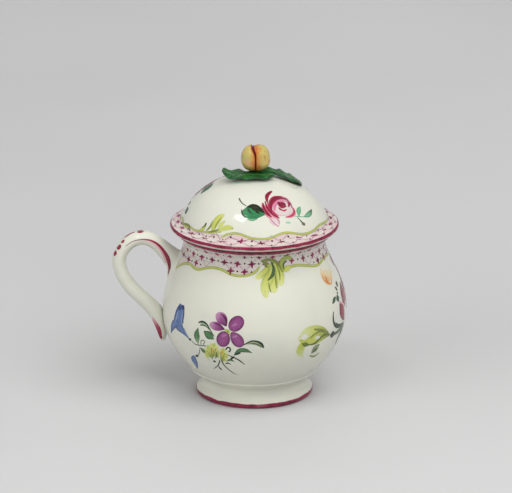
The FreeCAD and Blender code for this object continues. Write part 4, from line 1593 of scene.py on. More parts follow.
PEONY_EDGE = [
    petal([(331, 255.6, 3), (332, 260.8, 8), (334.4, 266.4, 4)], colour_of(112, 58, 92), rim=VIOLET, layer=3),
    touch([(336.6, 266, 1.6), (339, 273, 4.4), (341.4, 281, 6.4), (343.6, 289, 5)], PEONY_DEEP, rim=ROSE_DARK,
          layer=3),
    petal([(339.6, 281, 3), (341.4, 288, 10), (343, 296, 13), (344.6, 306, 6)], colour_of(126, 12, 42),
          rim=PEONY_DEEP, layer=4),
    petal([(339.4, 303.4, 4), (340.6, 306.4, 10), (342.2, 312, 12), (343.8, 320, 4)], colour_of(136, 12, 44),
          rim=PEONY_DEEP, layer=5),
    touch([(338.8, 301.4, 0.8), (341.2, 302.6, 2.2), (344, 305.2, 1)], ROSE_PALE, layer=6),
]


def crimson_flower():
    m = Motif(CUP_SKIN, DRAWN_MIDDLE)
    for k in range(OUTER_PETALS):
        a = 2 * pi * k / OUTER_PETALS + 0.25
        c, s = cos(a), sin(a)
        far = 9.6 + 0.9 * sin(2.7 * k)
        bend = (0.6 * far * c - 0.6 * s, 0.6 * far * s + 0.6 * c, 5.6)
        colour = ROSE if k % 3 == 0 else PEONY_RED
        m.draw(petal([(1.6 * c, 1.6 * s, 3.0), bend, (far * c, far * s, 5.0)], colour, rim=WINE,
                     root=ROSE_PALE, layer=1 + k % 2))
    for k in range(INNER_PETALS):
        a = 2 * pi * k / INNER_PETALS
        c, s = cos(a), sin(a)
        m.draw(petal([(0.8 * c, 0.8 * s, 1.8), (3.2 * c - 0.8 * s, 3.2 * s + 0.8 * c, 3.8),
                      (5.0 * c - 2 * s, 5.0 * s + 2 * c, 2.0)], ROSE_PALE, rim=ROSE, layer=3 + k % 2))
    m.draw(*PEONY_SPRIGS)
    return m


# %% The small sprig
SPRIG_LEAVES = [
    touch([(0.2, -0.6, 0.4), (-0.6, -3.4, 0.5), (0.4, -6.4, 0.25)], STEM),
    green_leaf([(-0.5, -3, 0.3), (-2.4, -2.8, 1.5), (-3.8, -3.8, 0.3)]),
    green_leaf([(-0.3, -4.2, 0.3), (1.5, -4, 1.3), (2.7, -5, 0.3)]),
]
SPRIG_HEART = [
    petal([(-0.3, 0, 0.6), (0.3, 0, 0.6)], YELLOW_GREEN, layer=3),
]
SPRIG_PETALS = 5


def sprig():
    """A small flower with two leaves that fills a bare place."""
    m = Motif(CUP_SKIN, DRAWN_MIDDLE)
    m.draw(*SPRIG_LEAVES)
    for k in range(SPRIG_PETALS):
        a = 2 * pi * k / SPRIG_PETALS + 0.4
        c, s = cos(a), sin(a)
        m.draw(petal([(0.3 * c, 0.3 * s, 0.6), (1.2 * c, 1.2 * s, 1.4), (1.9 * c, 1.9 * s, 0.8)], ROSE,
                     rim=ROSE_DARK, layer=1))
    m.draw(*SPRIG_HEART)
    return m


peony, small = crimson_flower(), sprig()
peony_edge = traced("crimson petals at the edge", CUP_SKIN, PEONY_EDGE_MIDDLE, PEONY_EDGE)
print("crimson flower:", len(peony.strokes), "strokes, sprig:", len(small.strokes), "strokes")


# %% [markdown]
# ## The rose on the cover
# The rose is built up from the outside in: a dark green leaf on its left, light leaves and a bud on
# its right, outer petals that fade away downwards, then a round pale body with a crimson top, and
# the deep folds of the heart last.

# %% The rose: leaves and bud
ROSE_MIDDLE = (281, 208)
LEAF_BLACK = colour_of(30, 36, 12)
ROSE_LEAVES = [
    touch([(246.4, 206, 0.9), (241.6, 202.4, 1.3), (239.2, 198.2, 1.8)], STEM),
    petal([(242, 212.4, 12), (252.4, 212.2, 16.4), (265.8, 214, 6)], EMERALD, rim=MINT_DARK),
    petal([(246.4, 207.2, 2.6), (252.4, 206.4, 6.4), (258.4, 208.6, 6), (266, 214, 1.8)], LEAF_BLACK,
          rim=GREEN_DARK, layer=1),
    touch([(252, 208.6, 1), (256.4, 211.4, 2.6), (260.4, 214.4, 0.6)], LEAF_BLACK, rim=GREEN_DARK, layer=1),
    touch([(247.6, 208, 0.8), (249.4, 211.6, 2.2), (252.4, 214.6, 0.5)], GREEN_DARK, layer=1),
    touch([(241.8, 209.4, 0.8), (242.2, 213.4, 1.5), (245.6, 217.8, 0.8)], GREEN_DARK, layer=2),
    petal([(247, 219, 1), (252.4, 219.8, 2.4), (257.6, 218.8, 1)], MINT, rim=EMERALD, layer=2),
    touch([(245.4, 213.8, 0.5), (252.6, 213.4, 1.1), (261, 214.2, 0.5)], MINT_DARK, layer=2),
    touch([(250, 216.4, 0.5), (256.6, 216.4, 1.1), (261.4, 215, 0.5)], MINT_DARK, layer=2),
]
# light leaves and the bud on the right
ROSE_BUD = [
    touch([(294.4, 216, 0.8), (299, 216.6, 1), (304.4, 216.9, 0.7)], MINT),
    petal([(299, 216.6, 1.2), (298.6, 211, 4.8), (300.2, 206.6, 2)], MINT, rim=MINT_DARK),
    petal([(303, 217, 1.2), (308.4, 214.6, 5.2), (311.6, 209, 1.4)], MINT, rim=MINT_DARK, tip=GREEN_DARK),
    touch([(297.4, 217.4, 0.8), (300.4, 220.5, 1.2), (302.4, 222.8, 1.8)], STEM),
    petal([(302, 222.4, 2.4), (303.6, 224, 3.2), (305.2, 225.2, 2)], colour_of(112, 98, 80), layer=1),
    petal([(285.4, 223, 1.4), (288, 222.6, 3), (290.8, 223.2, 1.4)], colour_of(160, 196, 172)),
]


# %% The rose: petals
ROSE_DEEP = colour_of(108, 10, 40)
LILAC = colour_of(190, 128, 152)
ROSE_OUTER = [
    petal([(269.8, 215.4, 3), (274.6, 221.4, 8), (279, 226.6, 3)], colour_of(208, 194, 192),
          rim=colour_of(206, 170, 182)),
    touch([(268.8, 215.4, 0.6), (273.4, 222.4, 1.2), (278.4, 226.6, 0.8)], LILAC, layer=1),
    touch([(275.6, 217.6, 0.6), (278.4, 220.4, 1.5), (279.4, 224.4, 0.6)], LILAC, layer=1),
    touch([(262.4, 202.6, 1.6), (264.4, 209.2, 5.4), (270.4, 216, 5.6), (278.2, 221.4, 1.6)], ROSE_PALE,
          rim=ROSE),
    touch([(262.8, 203, 1.2), (264.2, 208.8, 3.4), (268.2, 214.4, 3), (271.6, 217.2, 0.9)], ROSE_DARK,
          rim=ROSE, layer=1),
    touch([(265, 201.2, 1.2), (267.4, 208, 2.6), (272.4, 213.8, 2.8), (279.4, 218.4, 1)], ROSE_DARK, rim=ROSE,
          layer=2),
    touch([(267.4, 202.4, 1), (269.4, 207.6, 2), (273.6, 212.4, 1.8), (278.6, 216.4, 0.7)], ROSE, layer=3),
    touch([(267.4, 202.6, 1.6), (266.6, 197.2, 4.6), (271.8, 191.2, 1.8)], ROSE_DARK, rim=ROSE, tip=ROSE_DEEP,
          layer=2),
]
ROSE_BODY = [
    petal([(271.6, 201, 12), (281.2, 207.4, 22), (291, 213.8, 12)], colour_of(208, 198, 193),
          rim=colour_of(202, 176, 180), layer=2),
    touch([(274.4, 211, 2), (274.8, 205.4, 4.6), (279, 201.6, 3.6), (284.6, 201.4, 1.4)],
          colour_of(196, 116, 148), rim=ROSE_PALE, layer=3),
    touch([(271.4, 211.6, 1.6), (270.4, 205.4, 4.6), (273.4, 199.6, 6.6), (279.6, 197.8, 5), (285.4, 199, 4),
           (289.4, 202.4, 2.6), (291.8, 208, 1.2)], ROSE_DARK, rim=ROSE, tip=colour_of(158, 92, 116),
          layer=4),
    touch([(281.4, 197, 0.5), (286.4, 198.4, 1.1), (289.6, 202, 0.6)], ROSE_PALE, layer=6),
    touch([(279.4, 200.4, 0.5), (284.4, 200.6, 1), (287.6, 203, 0.5)], ROSE_PALE, layer=6),
    touch([(292.4, 207.6, 1.6), (294, 212.4, 3.4), (291, 216, 3.2), (285.4, 217.2, 0.8)], ROSE, rim=ROSE_PALE,
          layer=4),
]
ROSE_HEART = [
    petal([(277.6, 202.6, 3), (281.4, 205, 8.4), (286.2, 206.6, 3.4)], ROSE_DARK, rim=ROSE, layer=5),
    petal([(277.8, 201.8, 1.6), (279.4, 204.4, 4), (281.4, 206, 2)], ROSE_DEEP, layer=6),
    petal([(282, 202.4, 0.8), (284.4, 204, 2), (285.4, 206, 0.8)], ROSE_DEEP, layer=6),
    touch([(286.6, 201.8, 0.8), (289, 204.4, 2.4), (288, 207, 0.8)], ROSE_DEEP, rim=ROSE, layer=5),
    touch([(281.4, 209.8, 1), (283.8, 210.8, 2), (286.4, 209.4, 0.9)], ROSE, layer=5),
    touch([(278.4, 207.6, 0.8), (280.2, 209.4, 2), (282.4, 210.4, 0.8)], ROSE_DARK, rim=ROSE, layer=5),
]
cover_rose = traced("rose", COVER_SKIN, ROSE_MIDDLE,
                    ROSE_LEAVES + ROSE_BUD + ROSE_OUTER + ROSE_BODY + ROSE_HEART)


# %% A leaf and a bud left of the rose, and pale washes
STRAY_MIDDLE = (204, 190)
STRAY_GREEN = colour_of(30, 104, 58)
STRAY_LEAF_GREEN = colour_of(34, 78, 46)
STRAY_STROKES = [
    petal([(200.6, 194, 3.0), (206.4, 188.6, 13.0), (213.4, 183.2, 4.0)], STRAY_GREEN, rim=GREEN_DARK,
          layer=1),
    touch([(202.6, 191.8, 0.8), (207, 187.6, 2.0), (211.6, 184, 0.8)], GREEN_DARK, layer=2),
    touch([(191.4, 199.2, 0.8), (199.6, 191.4, 3.4), (208.6, 182.8, 1.4)], ROSE_DARK, layer=1),
    petal([(188.4, 205.4, 1.0), (189.6, 203.2, 4.0), (190.8, 201, 1.0)], GREEN_DARK, layer=1),
    petal([(185.6, 214.4, 1.6), (186.6, 210.4, 6.4), (187.6, 206.6, 1.6)], STRAY_LEAF_GREEN, rim=GREEN_DARK,
          layer=1),
]
MINT_WASH = colour_of(168, 196, 170)
WASHES = [
    [(226, 180.4, 2.4), (236, 182.4, 4.2), (248, 183.2, 3.8), (262, 182, 2.4)],
    [(286, 184.6, 1.4), (292, 187.4, 3.0), (299, 188.6, 1.4)],
]
stray = traced("stray leaf and bud", COVER_SKIN, STRAY_MIDDLE, STRAY_STROKES)


def wash(points):
    """A thin pale touch that fades into the glaze at both ends and at its rim."""
    faded = petal(points, MINT_WASH, rim=PORCELAIN_PAINT, root=PORCELAIN_PAINT, tip=PORCELAIN_PAINT)
    return traced("wash", COVER_SKIN, points[1][:2], [faded])


# %% [markdown]
# ## The borders
# Round the neck and round the cover's foot runs a tinted band with a row or a net of small stars,
# and a wavy line with acanthus leaves closes it. The line and its leaves are traced where the
# photograph shows them and put down again after half a turn; two plain waves join them on the sides.

# %% The wavy lines
LINE_WIDTH = 2.7
COVER_LINE_LEFT_WIDTH = 2.0
COVER_LINE_WIDTH = 2.3
NECK_LINE_LEFT = [(176.2, 268.2), (182.4, 264), (187, 263.5), (191, 264.6), (194.4, 268), (199, 269.4),
                  (205.3, 268.2), (211.6, 267.6), (218, 268.4), (224.3, 270.8), (231.2, 274.4),
                  (238.6, 275.9), (245.6, 275.6), (251.6, 274), (256.5, 270.9), (259.6, 266.4)]
NECK_LINE_RIGHT = [(285, 271.6), (288.4, 267.9), (296, 265.3), (302.4, 265.2), (312, 265.9), (318.3, 264.5),
                   (322.2, 260), (327.3, 254.3), (331.6, 251.8)]
COVER_LINE_LEFT = [(191.6, 227.4), (194.8, 230), (200.1, 231), (208.7, 232.2), (215.1, 232.3),
                   (221.6, 231.7)]
COVER_LINE_RIGHT = [(221.3, 237.8), (224.8, 235.5), (229.6, 233.7), (235, 233.3), (243, 235),
                    (250.6, 237.9), (257.8, 239), (265, 239), (271.4, 237.8), (277.4, 235), (283.4, 233),
                    (289, 232.6), (295.8, 233.5), (302.8, 234), (309, 232.8), (314.4, 229.8),
                    (318.4, 225.8), (322.6, 223.4), (326.2, 221.2), (328, 217)]


# %% The acanthus leaves
ACANTHUS_PALE = colour_of(202, 207, 132)
ACANTHUS_SOFT = colour_of(150, 164, 84)
NECK_LEAF_MIDDLE = (270, 268)
NECK_LEAF = [
    petal([(265.6, 261, 4), (268, 267, 6), (264, 273.2, 7.4), (255.6, 278.2, 8)], YELLOW_GREEN,
          rim=ACANTHUS_SOFT, tip=ACANTHUS_PALE, layer=1),
    petal([(273, 268, 3.6), (273.6, 279, 8.4), (274, 293, 8.4)], YELLOW_GREEN, rim=ACANTHUS_SOFT,
          tip=ACANTHUS_PALE, layer=1),
    petal([(271, 261, 4.6), (272.6, 270, 7.6), (269, 278, 9.6), (265.4, 287, 9.6), (266.4, 298, 8.4)],
          YELLOW_GREEN, rim=ACANTHUS_SOFT, tip=ACANTHUS_PALE, layer=2),
    petal([(272.6, 260.6, 3.6), (277.6, 268.4, 6.6), (280.6, 277, 8), (281, 285.6, 7.6)], YELLOW_GREEN,
          rim=ACANTHUS_SOFT, tip=ACANTHUS_PALE, layer=2),
    touch([(260.4, 261.4, 0.8), (265.6, 259.6, 2.8), (271, 259.6, 3.6), (276, 262, 3), (280, 267.2, 2),
           (282, 272, 0.7)], OLIVE, layer=4),
    petal([(261.8, 261.8, 1.6), (265.6, 263.6, 3.8), (267.4, 268, 1.6)], OLIVE, layer=3),
    touch([(271, 262, 0.9), (273.6, 268.6, 3), (272.6, 274.6, 3.4), (267.6, 280.6, 1)], colour_of(70, 92, 56),
          layer=4),
    touch([(266.6, 264, 0.6), (268.8, 268.6, 1.4), (266, 273.6, 1.2), (261, 276.6, 0.5)], ACANTHUS_SOFT,
          layer=4),
    touch([(274.4, 271, 0.6), (275.8, 280, 1.5), (276.2, 288, 0.6)], OLIVE, layer=4),
    touch([(268.6, 282, 0.6), (269.6, 288.6, 1.2), (271, 292.4, 0.5)], OLIVE, layer=4),
    touch([(275.8, 263.6, 0.6), (279.2, 272, 1.5), (279.8, 280.6, 0.6)], OLIVE, layer=4),
]
# the curl that the line on the right grows from
NECK_CURL = [
    touch([(291, 259.2, 3.4), (287, 257, 4.6), (283, 259.4, 5.6), (281.6, 264.8, 4.8), (283.6, 271.6, 2.2)],
          colour_of(158, 170, 80), rim=OLIVE, layer=3),
    touch([(286.4, 260.4, 0.6), (283.4, 264, 1.9), (284, 269.6, 0.8)], colour_of(78, 96, 44), layer=4),
    touch([(284.4, 272.2, 1.6), (286.4, 268.8, 5.6), (290.4, 266.6, 3)], YELLOW_GREEN, rim=ACANTHUS_SOFT,
          layer=3),
]
COVER_LEAF_MIDDLE = (213, 230)
COVER_LEAF = [
    petal([(212, 232.4, 4), (215, 224.4, 7.4), (219, 218.2, 8.6), (224.6, 214.8, 7)], YELLOW_GREEN,
          rim=colour_of(160, 168, 84), tip=colour_of(196, 200, 110), layer=1),
    petal([(217.4, 230.6, 2.4), (221.4, 224.6, 4.6), (225.4, 220.4, 3.6)], colour_of(188, 194, 110),
          rim=colour_of(190, 196, 140)),
    touch([(214.6, 229, 0.6), (217.6, 222.6, 1), (221.8, 217.4, 0.5)], OLIVE, layer=3),
    petal([(218.6, 231.4, 2.4), (226, 227.8, 6), (233.8, 228.2, 4.4)], YELLOW_GREEN,
          rim=colour_of(196, 203, 140), layer=1),
    petal([(231.8, 228.8, 1.2), (232.8, 228.6, 1.2)], GREEN_DARK, layer=3),
    touch([(206.6, 230.6, 1.2), (210.4, 226.4, 2.4), (212.8, 220.4, 0.6)], OLIVE, tip=GREEN_PALE, layer=1),
    touch([(208.4, 232, 1), (213, 231.4, 2.2), (219.4, 229.4, 1)], OLIVE, layer=2),
    touch([(198.8, 230.2, 1), (204, 227.6, 3.2), (206.4, 222.8, 1.4)], YELLOW_GREEN, rim=OLIVE,
          tip=GREEN_DARK, layer=1),
    touch([(202, 227.6, 0.5), (205, 225.2, 1), (206, 222.8, 0.6)], GREEN_DARK, layer=3),
    touch([(178.8, 219.8, 1), (183, 223.8, 2), (187, 225, 3.2), (189.6, 227.8, 3), (188.8, 231.6, 1)], OLIVE,
          rim=colour_of(90, 96, 44), layer=1),
]
neck_leaf = traced("acanthus of the neck", CUP_SKIN, NECK_LEAF_MIDDLE, NECK_LEAF + NECK_CURL)
cover_leaf = traced("acanthus of the cover", COVER_SKIN, COVER_LEAF_MIDDLE, COVER_LEAF)


# %% Whole borders: ground, diaper and wavy line
PINK_GROUND = colour_of(210, 184, 184)
PINK_GROUND_PALE = colour_of(208, 198, 191)
NECK_GROUND = colour_of(204, 190, 188)
NECK_GROUND_PALE = colour_of(204, 201, 192)
STAR = colour_of(140, 28, 76)
STAR_DARK = colour_of(80, 12, 42)
LATTICE = colour_of(166, 128, 146)
LINE_PALE = colour_of(178, 186, 98)
GROUND_LIFT = 0.008
GROUND_COLUMNS = 241
GROUND_ROWS = 7
LINE_END_SHARE = 0.55


def all_round(skin, pixels, others=1):
    """(turn, length) of a seen line, and of its copies round the pot, in order of turn."""
    seen = [skin.seen(x, y) for x, y in pixels]
    copies = [(turn + k * 2 * pi / (others + 1), length) for k in range(others + 1) for turn, length in seen]
    return sorted(((turn + pi) % (2 * pi) - pi, length) for turn, length in copies)


def edge_of(line):
    """A function of turn that gives the height of a line that goes all round."""
    turns = np.array([p[0] for p in line])
    lengths = np.array([p[1] for p in line])
    return lambda turn: np.interp(turn, turns, lengths, period=2 * pi)


def ground(brush, edge, top, colour, pale):
    """The tinted band between a wavy line and a level line."""
    turns = np.linspace(-pi, pi, GROUND_COLUMNS)
    share = np.linspace(0, 1, GROUND_ROWS)
    low = edge(turns)
    lengths = low[:, None] + (top - low[:, None]) * share
    grid = np.broadcast_to(turns[:, None], lengths.shape)
    wave = 0.5 + 0.5 * np.sin(7 * grid + 5 * share + 2 * np.sin(3 * grid))
    paints = np.array(colour) + (np.array(pale) - np.array(colour)) * wave[..., None]
    marks = np.stack([grid * 5, lengths * 0.3, np.full(lengths.shape, 5.0)], axis=-1)
    lifts = np.full(lengths.shape, GROUND_LIFT)
    flip = BACKWARDS if top > low.mean() else slice(None)
    brush.lay(*(part[:, flip] for part in (grid, lengths, lifts, paints, marks)))


def border_line(title, skin, pixels, width):
    """A stretch of the wavy line with a pale middle and darker rims, narrower at its ends."""
    ends = (0, len(pixels) - 1)
    tapered = [(x, y, width * (LINE_END_SHARE if i in ends else 1.0)) for i, (x, y) in enumerate(pixels)]
    return traced(title, skin, pixels[len(pixels) // 2], [touch(tapered, LINE_PALE, rim=OLIVE, layer=1)])


JOINING_STEPS = 6
JOINING_SWAY = 0.8


def joining_line(brush, start, end, width):
    """The same line where no photograph shows it: from one spot to another in one wave."""
    around = brush.skin.radius(start[1])
    points = []
    for k in range(JOINING_STEPS + 1):
        t = k / JOINING_STEPS
        sway = JOINING_SWAY * sin(2 * pi * t) * sin(pi * t) ** 0.5
        points.append(((end[0] - start[0]) * around * t, (end[1] - start[1]) * t + sway,
                       width / PIXELS_PER_MM))
    brush.stroke(start, points, LINE_PALE, rim=OLIVE, layer=1)


def scroll(brush, motifs, left, right, width):
    """Traced motifs, put down where they were seen and half a turn on, and the waves that join them."""
    last = brush.skin.seen(*right[-1])
    first = brush.skin.seen(*left[0])
    for half_turn in (0, 180):
        for motif in motifs:
            motif.put(brush, turn=degrees(motif.spot[0]) + half_turn)
        turned = radians(half_turn)
        joining_line(brush, (last[0] + turned, last[1]), (first[0] + pi + turned, first[1]), width)


# %% Stars, dots and lattice
def within_a_turn(turn):
    return (turn + pi) % (2 * pi) - pi


def star(brush, spot, reach, chance, tall=1.0):
    """Four pointed arms laid as two crossing strokes, each put down with a slightly different turn."""
    colour = STAR + (STAR_DARK - STAR) * chance.random() * 0.7
    for k in range(2):
        a = k * pi / 2 + chance.uniform(-0.16, 0.16)
        far = reach * chance.uniform(0.8, 1.15)
        c, s = cos(a) * far, sin(a) * far * tall
        middle = chance.uniform(0.85, 1.1)
        arms = [(-c, -s, 0.3), (-0.5 * c, -0.5 * s, 0.62), (0, 0, middle), (0.5 * c, 0.5 * s, 0.62),
                (c, s, 0.3)]
        brush.stroke(spot, arms, colour, layer=2)


def star_row(brush, edge, low, share, count, first_turn, reach, tall):
    """One row of stars that keeps to the middle of the band, with dots and a thin lattice between them."""
    chance = random.Random(count)
    half = pi / count
    for i in range(count):
        turn = within_a_turn(first_turn + 2 * half * i)
        high = edge(turn)
        length = low + share * (high - low) + chance.uniform(-0.25, 0.25)
        star(brush, (turn, length), reach * chance.uniform(0.88, 1.05), chance, tall)
        next_high = edge(turn + half)
        middle = (low + next_high) / 2
        for up in (-0.28, 0.26):
            beside = (turn + half + chance.uniform(-0.02, 0.02), middle + up * (next_high - low))
            brush.stroke(beside, [(-0.36, 0, 0.6), (0.36, 0, 0.6)], STAR_DARK, petal=True, layer=2)
        around = brush.skin.radius(length) * half
        for side in (-1, 1):
            for end in (low + 0.2, next_high - 0.3):
                brush.stroke((turn, length), [(0, 0, 0.3), (side * around, end - length, 0.26)], LATTICE,
                             layer=1)


def star_net(brush, edge, row, count, first_turn, step_down, rows, reach, limit):
    """Stars and dots in staggered rows, from the top row down to the wavy line, with a thin lattice."""
    chance = random.Random(count)
    for k in range(rows):
        length = row - step_down * k
        for i in range(count):
            turn = within_a_turn(first_turn + 2 * pi * (i + 0.5 * (k % 2)) / count)
            room = length - edge(turn)
            spot = (turn + chance.uniform(-0.004, 0.004), length + chance.uniform(-0.12, 0.12))
            half = pi / count
            if room > 0.55 * reach:
                star(brush, spot, reach, chance)
            if length - edge(turn + half) > 0.3:
                beside = (turn + half, length + 0.1)
                brush.stroke(beside, [(-0.32, 0, 0.6), (0.32, 0, 0.6)], STAR_DARK, petal=True, layer=2)
            around = brush.skin.radius(length) * half
            above = length + step_down
            if above < limit and room > 0:
                for side in (-1, 1):
                    brush.stroke(spot, [(0, 0, 0.22), (side * around, above - length, 0.2)], LATTICE, layer=1)


# %% Painting the cup's border
NECK_TOP = CUP_SKIN.length_at(RIM_Z - 1.5)
NECK_STAR = (230.4, 256.2)
NET_STARS = 32
NET_ROWS = 3
NET_STEP = 2.75
NET_STAR_REACH = 1.25
first_turn, top_row = CUP_SKIN.seen(*NECK_STAR)
neck_edge = edge_of(all_round(CUP_SKIN, NECK_LINE_LEFT + NECK_LINE_RIGHT[1:]))
neck_band = Brush("cup_border", CUP_SKIN)
ground(neck_band, neck_edge, NECK_TOP, NECK_GROUND, NECK_GROUND_PALE)
star_net(neck_band, neck_edge, top_row, NET_STARS, first_turn, NET_STEP, NET_ROWS, NET_STAR_REACH, NECK_TOP)
neck_left = border_line("neck line, left", CUP_SKIN, NECK_LINE_LEFT, LINE_WIDTH)
neck_right = border_line("neck line, right", CUP_SKIN, NECK_LINE_RIGHT, LINE_WIDTH)
scroll(neck_band, (neck_left, neck_right, neck_leaf), NECK_LINE_LEFT, NECK_LINE_RIGHT, LINE_WIDTH)


# %% Painting the cup's flowers
# Turns are in degrees from the front towards the right, so the ones from 90 to 270 can't be seen.
PEONY_LENGTH = CUP_SKIN.length_at(35.5)
cup_flowers = Brush("cup_flowers", CUP_SKIN)
for motif in (spray, bell, tulip, marigold, peony_edge):
    motif.put(cup_flowers)
peony.put(cup_flowers, turn=101, length=PEONY_LENGTH)
spray.put(cup_flowers, turn=172, length=spray.spot[1] + 1.5)
bell.put(cup_flowers, turn=149, length=bell.spot[1] + 2)
tulip.put(cup_flowers, turn=212, length=tulip.spot[1])
small.put(cup_flowers, turn=232, length=CUP_SKIN.length_at(43))
small.put(cup_flowers, turn=-128, length=CUP_SKIN.length_at(21), size=0.9, spin=0.5)


# %% Painting the cover
COVER_LOW = COVER_SKIN.length_at(RIM_Z + 1.65)
COVER_STAR = (241.4, 241.3)
ROW_STARS = 24
ROW_SHARE = 0.56
ROW_STAR_REACH = 1.75
ROW_STAR_TALL = 0.58
first_turn = COVER_SKIN.seen(*COVER_STAR)[0]
cover_edge = edge_of(all_round(COVER_SKIN, COVER_LINE_LEFT[:-2] + COVER_LINE_RIGHT[1:]))
cover_band = Brush("cover_border", COVER_SKIN)
ground(cover_band, cover_edge, COVER_LOW, PINK_GROUND, PINK_GROUND_PALE)
star_row(cover_band, cover_edge, COVER_LOW, ROW_SHARE, ROW_STARS, first_turn, ROW_STAR_REACH, ROW_STAR_TALL)
cover_left = border_line("cover line, left", COVER_SKIN, COVER_LINE_LEFT, COVER_LINE_LEFT_WIDTH)
cover_right = border_line("cover line, right", COVER_SKIN, COVER_LINE_RIGHT, COVER_LINE_WIDTH)
scroll(cover_band, (cover_left, cover_right, cover_leaf), COVER_LINE_LEFT, COVER_LINE_RIGHT, COVER_LINE_WIDTH)

cover_flowers = Brush("cover_flowers", COVER_SKIN)
cover_rose.put(cover_flowers)
cover_rose.put(cover_flowers, turn=-119, size=0.95, spin=-1.4)
stray.put(cover_flowers)
cover_rose.put(cover_flowers, turn=154)
for points in WASHES:
    wash(points).put(cover_flowers)


# %% [markdown]
# ## Touches on the handle
# The painter also drew one crimson line down the crown of the handle and a few dabs beside it. The
# handle isn't turned, so it gets a skin of its own: a spot on it is a turn round the section and a
# length along the strap. These strokes are dropped on the finished clay and lifted off it a little.

# %% The skin of the handle
STRAP_STEPS = 601
TURN_STEPS = 181
# pixels by which a spot that the camera can't see counts as farther off
HIDDEN = 1000
DROP_FROM = 2.5


class HandleSkin:
    """The strap's outside: a turn around its section, 0 on the outer line, and a length along it in mm."""

    def __init__(self):
        path = smooth_through(handle_stations(), STRAP_STEPS)
        run = np.gradient(path[:, :2], axis=0)
        run /= np.linalg.norm(run, axis=1)[:, None]
        self.columns = np.c_[path, run].T
        self.lengths = np.r_[0, np.cumsum(np.hypot(*np.diff(path[:, :2], axis=0).T))]
        turns, lengths = np.meshgrid(np.linspace(-pi, 0.6, TURN_STEPS), self.lengths)
        self.spots = np.array([turns.ravel(), lengths.ravel()]).T
        places, normals = self.place(self.spots[:, 0], self.spots[:, 1])
        sight = places - np.array(camera.location) / MM
        self.facing = np.sum(normals * sight, axis=1) < 0
        away = sight @ SIGHT_AHEAD
        self.across = PICTURE_WIDTH / 2 + FOCAL_PIXELS * (sight @ SIGHT_RIGHT) / away
        self.down = PICTURE_HEIGHT / 2 - FOCAL_PIXELS * (sight @ SIGHT_UP) / away

    def radius(self, length):
        thick, wide = (np.interp(length, self.lengths, self.columns[c]) for c in (2, 3))
        return (thick + wide) / 4

    def place(self, turns, lengths):
        """Places on the strap and the directions straight out of it."""
        x, z, thick, wide, run_x, run_z = (np.interp(lengths, self.lengths, column)
                                           for column in self.columns)
        normal = np.array([-np.cos(turns) / thick, np.sin(turns) / wide])
        normal /= np.linalg.norm(normal, axis=0)
        out = -np.cos(turns) * thick / 2
        places = np.array([x - run_z * out, np.sin(turns) * wide / 2, z + run_x * out]).T
        return places, np.array([-run_z * normal[0], normal[1], run_x * normal[0]]).T

    def seen(self, x, y):
        """The spot of the strap's visible side that lies nearest to a pixel of the photograph."""
        off = np.hypot(self.across - x, self.down - y) + np.where(self.facing, 0, HIDDEN)
        return tuple(self.spots[np.argmin(off)])


class HandleBrush(Brush):
    def finished(self, material):
        """Every spot of the strokes is dropped straight on to the glazed clay, then lifted off it."""
        clay = bvhtree.BVHTree.FromObject(cup, bpy.context.evaluated_depsgraph_get())
        turns, lengths, lifts = np.array(self.places).T
        places, normals = self.skin.place(turns, lengths / MM)
        dropped = []
        for place, normal, lift in zip(places * MM, normals, lifts):
            hit = clay.ray_cast(Vector(place + normal * DROP_FROM * MM), Vector(-normal),
                                2 * DROP_FROM * MM)[0]
            dropped.append(Vector(place if hit is None else hit) + Vector(normal) * lift)
        piece = self.sheet(dropped)
        piece.data.materials.append(material)
        piece.data.shade_smooth()
        print(self.name, triangles(piece.data), "triangles")
        return piece


HANDLE_SKIN = HandleSkin()


# %% Crimson touches on the handle
HANDLE_MIDDLE = (150, 241)
HANDLE_CRIMSON = colour_of(140, 16, 60)
HANDLE_WASH = colour_of(206, 160, 164)
HANDLE_TOUCHES = [
    touch([(136, 242.6, 1), (144, 241, 2), (152, 242.6, 3), (158.4, 247, 3.6), (163.4, 254, 4),
           (167, 263, 4)], HANDLE_WASH, rim=PORCELAIN_PAINT, root=PORCELAIN_PAINT, tip=HANDLE_WASH),
    touch([(125.8, 246.4, 0.6), (129.3, 243.4, 0.9), (134.5, 240.8, 1), (143, 239.5, 1.5),
           (151.7, 240.8, 2.2), (158.6, 245.1, 2.6), (163.9, 251.2, 3.2), (167.6, 258, 3.8),
           (169.2, 265, 3.4), (168.5, 273.4, 1.4)], HANDLE_CRIMSON, root=colour_of(150, 112, 118),
          tip=colour_of(104, 8, 36), layer=1),
    petal([(121, 243.2, 1.6), (122.8, 241.5, 4), (124.8, 240.2, 1.6)], HANDLE_CRIMSON, layer=1),
    petal([(118, 250, 4), (118.7, 247.2, 6), (119.4, 244.6, 4)], HANDLE_CRIMSON, rim=colour_of(104, 8, 36),
          layer=1),
    petal([(114.6, 256.4, 2), (115, 253.4, 6), (116, 250.4, 3)], HANDLE_CRIMSON, layer=1),
    touch([(124.4, 238, 1), (129, 234.6, 2.4), (134.8, 231.8, 1.4)], HANDLE_CRIMSON, layer=1),
    petal([(136.8, 231, 2.4), (140.4, 230.4, 4.4), (144, 230.3, 2.4)], HANDLE_CRIMSON, layer=1),
    touch([(152.6, 317.2, 2), (155.8, 324.4, 8), (158.6, 331, 10), (160.8, 337, 8), (162.2, 340.6, 5)],
          HANDLE_CRIMSON, rim=ROSE, root=HANDLE_WASH, tip=colour_of(120, 10, 44), layer=1),
]

touches = traced("touches on the handle", HANDLE_SKIN, HANDLE_MIDDLE, HANDLE_TOUCHES)
handle_brush = HandleBrush("handle_touches", HANDLE_SKIN)
touches.put(handle_brush)
touches.put(handle_brush, mirrored=True)


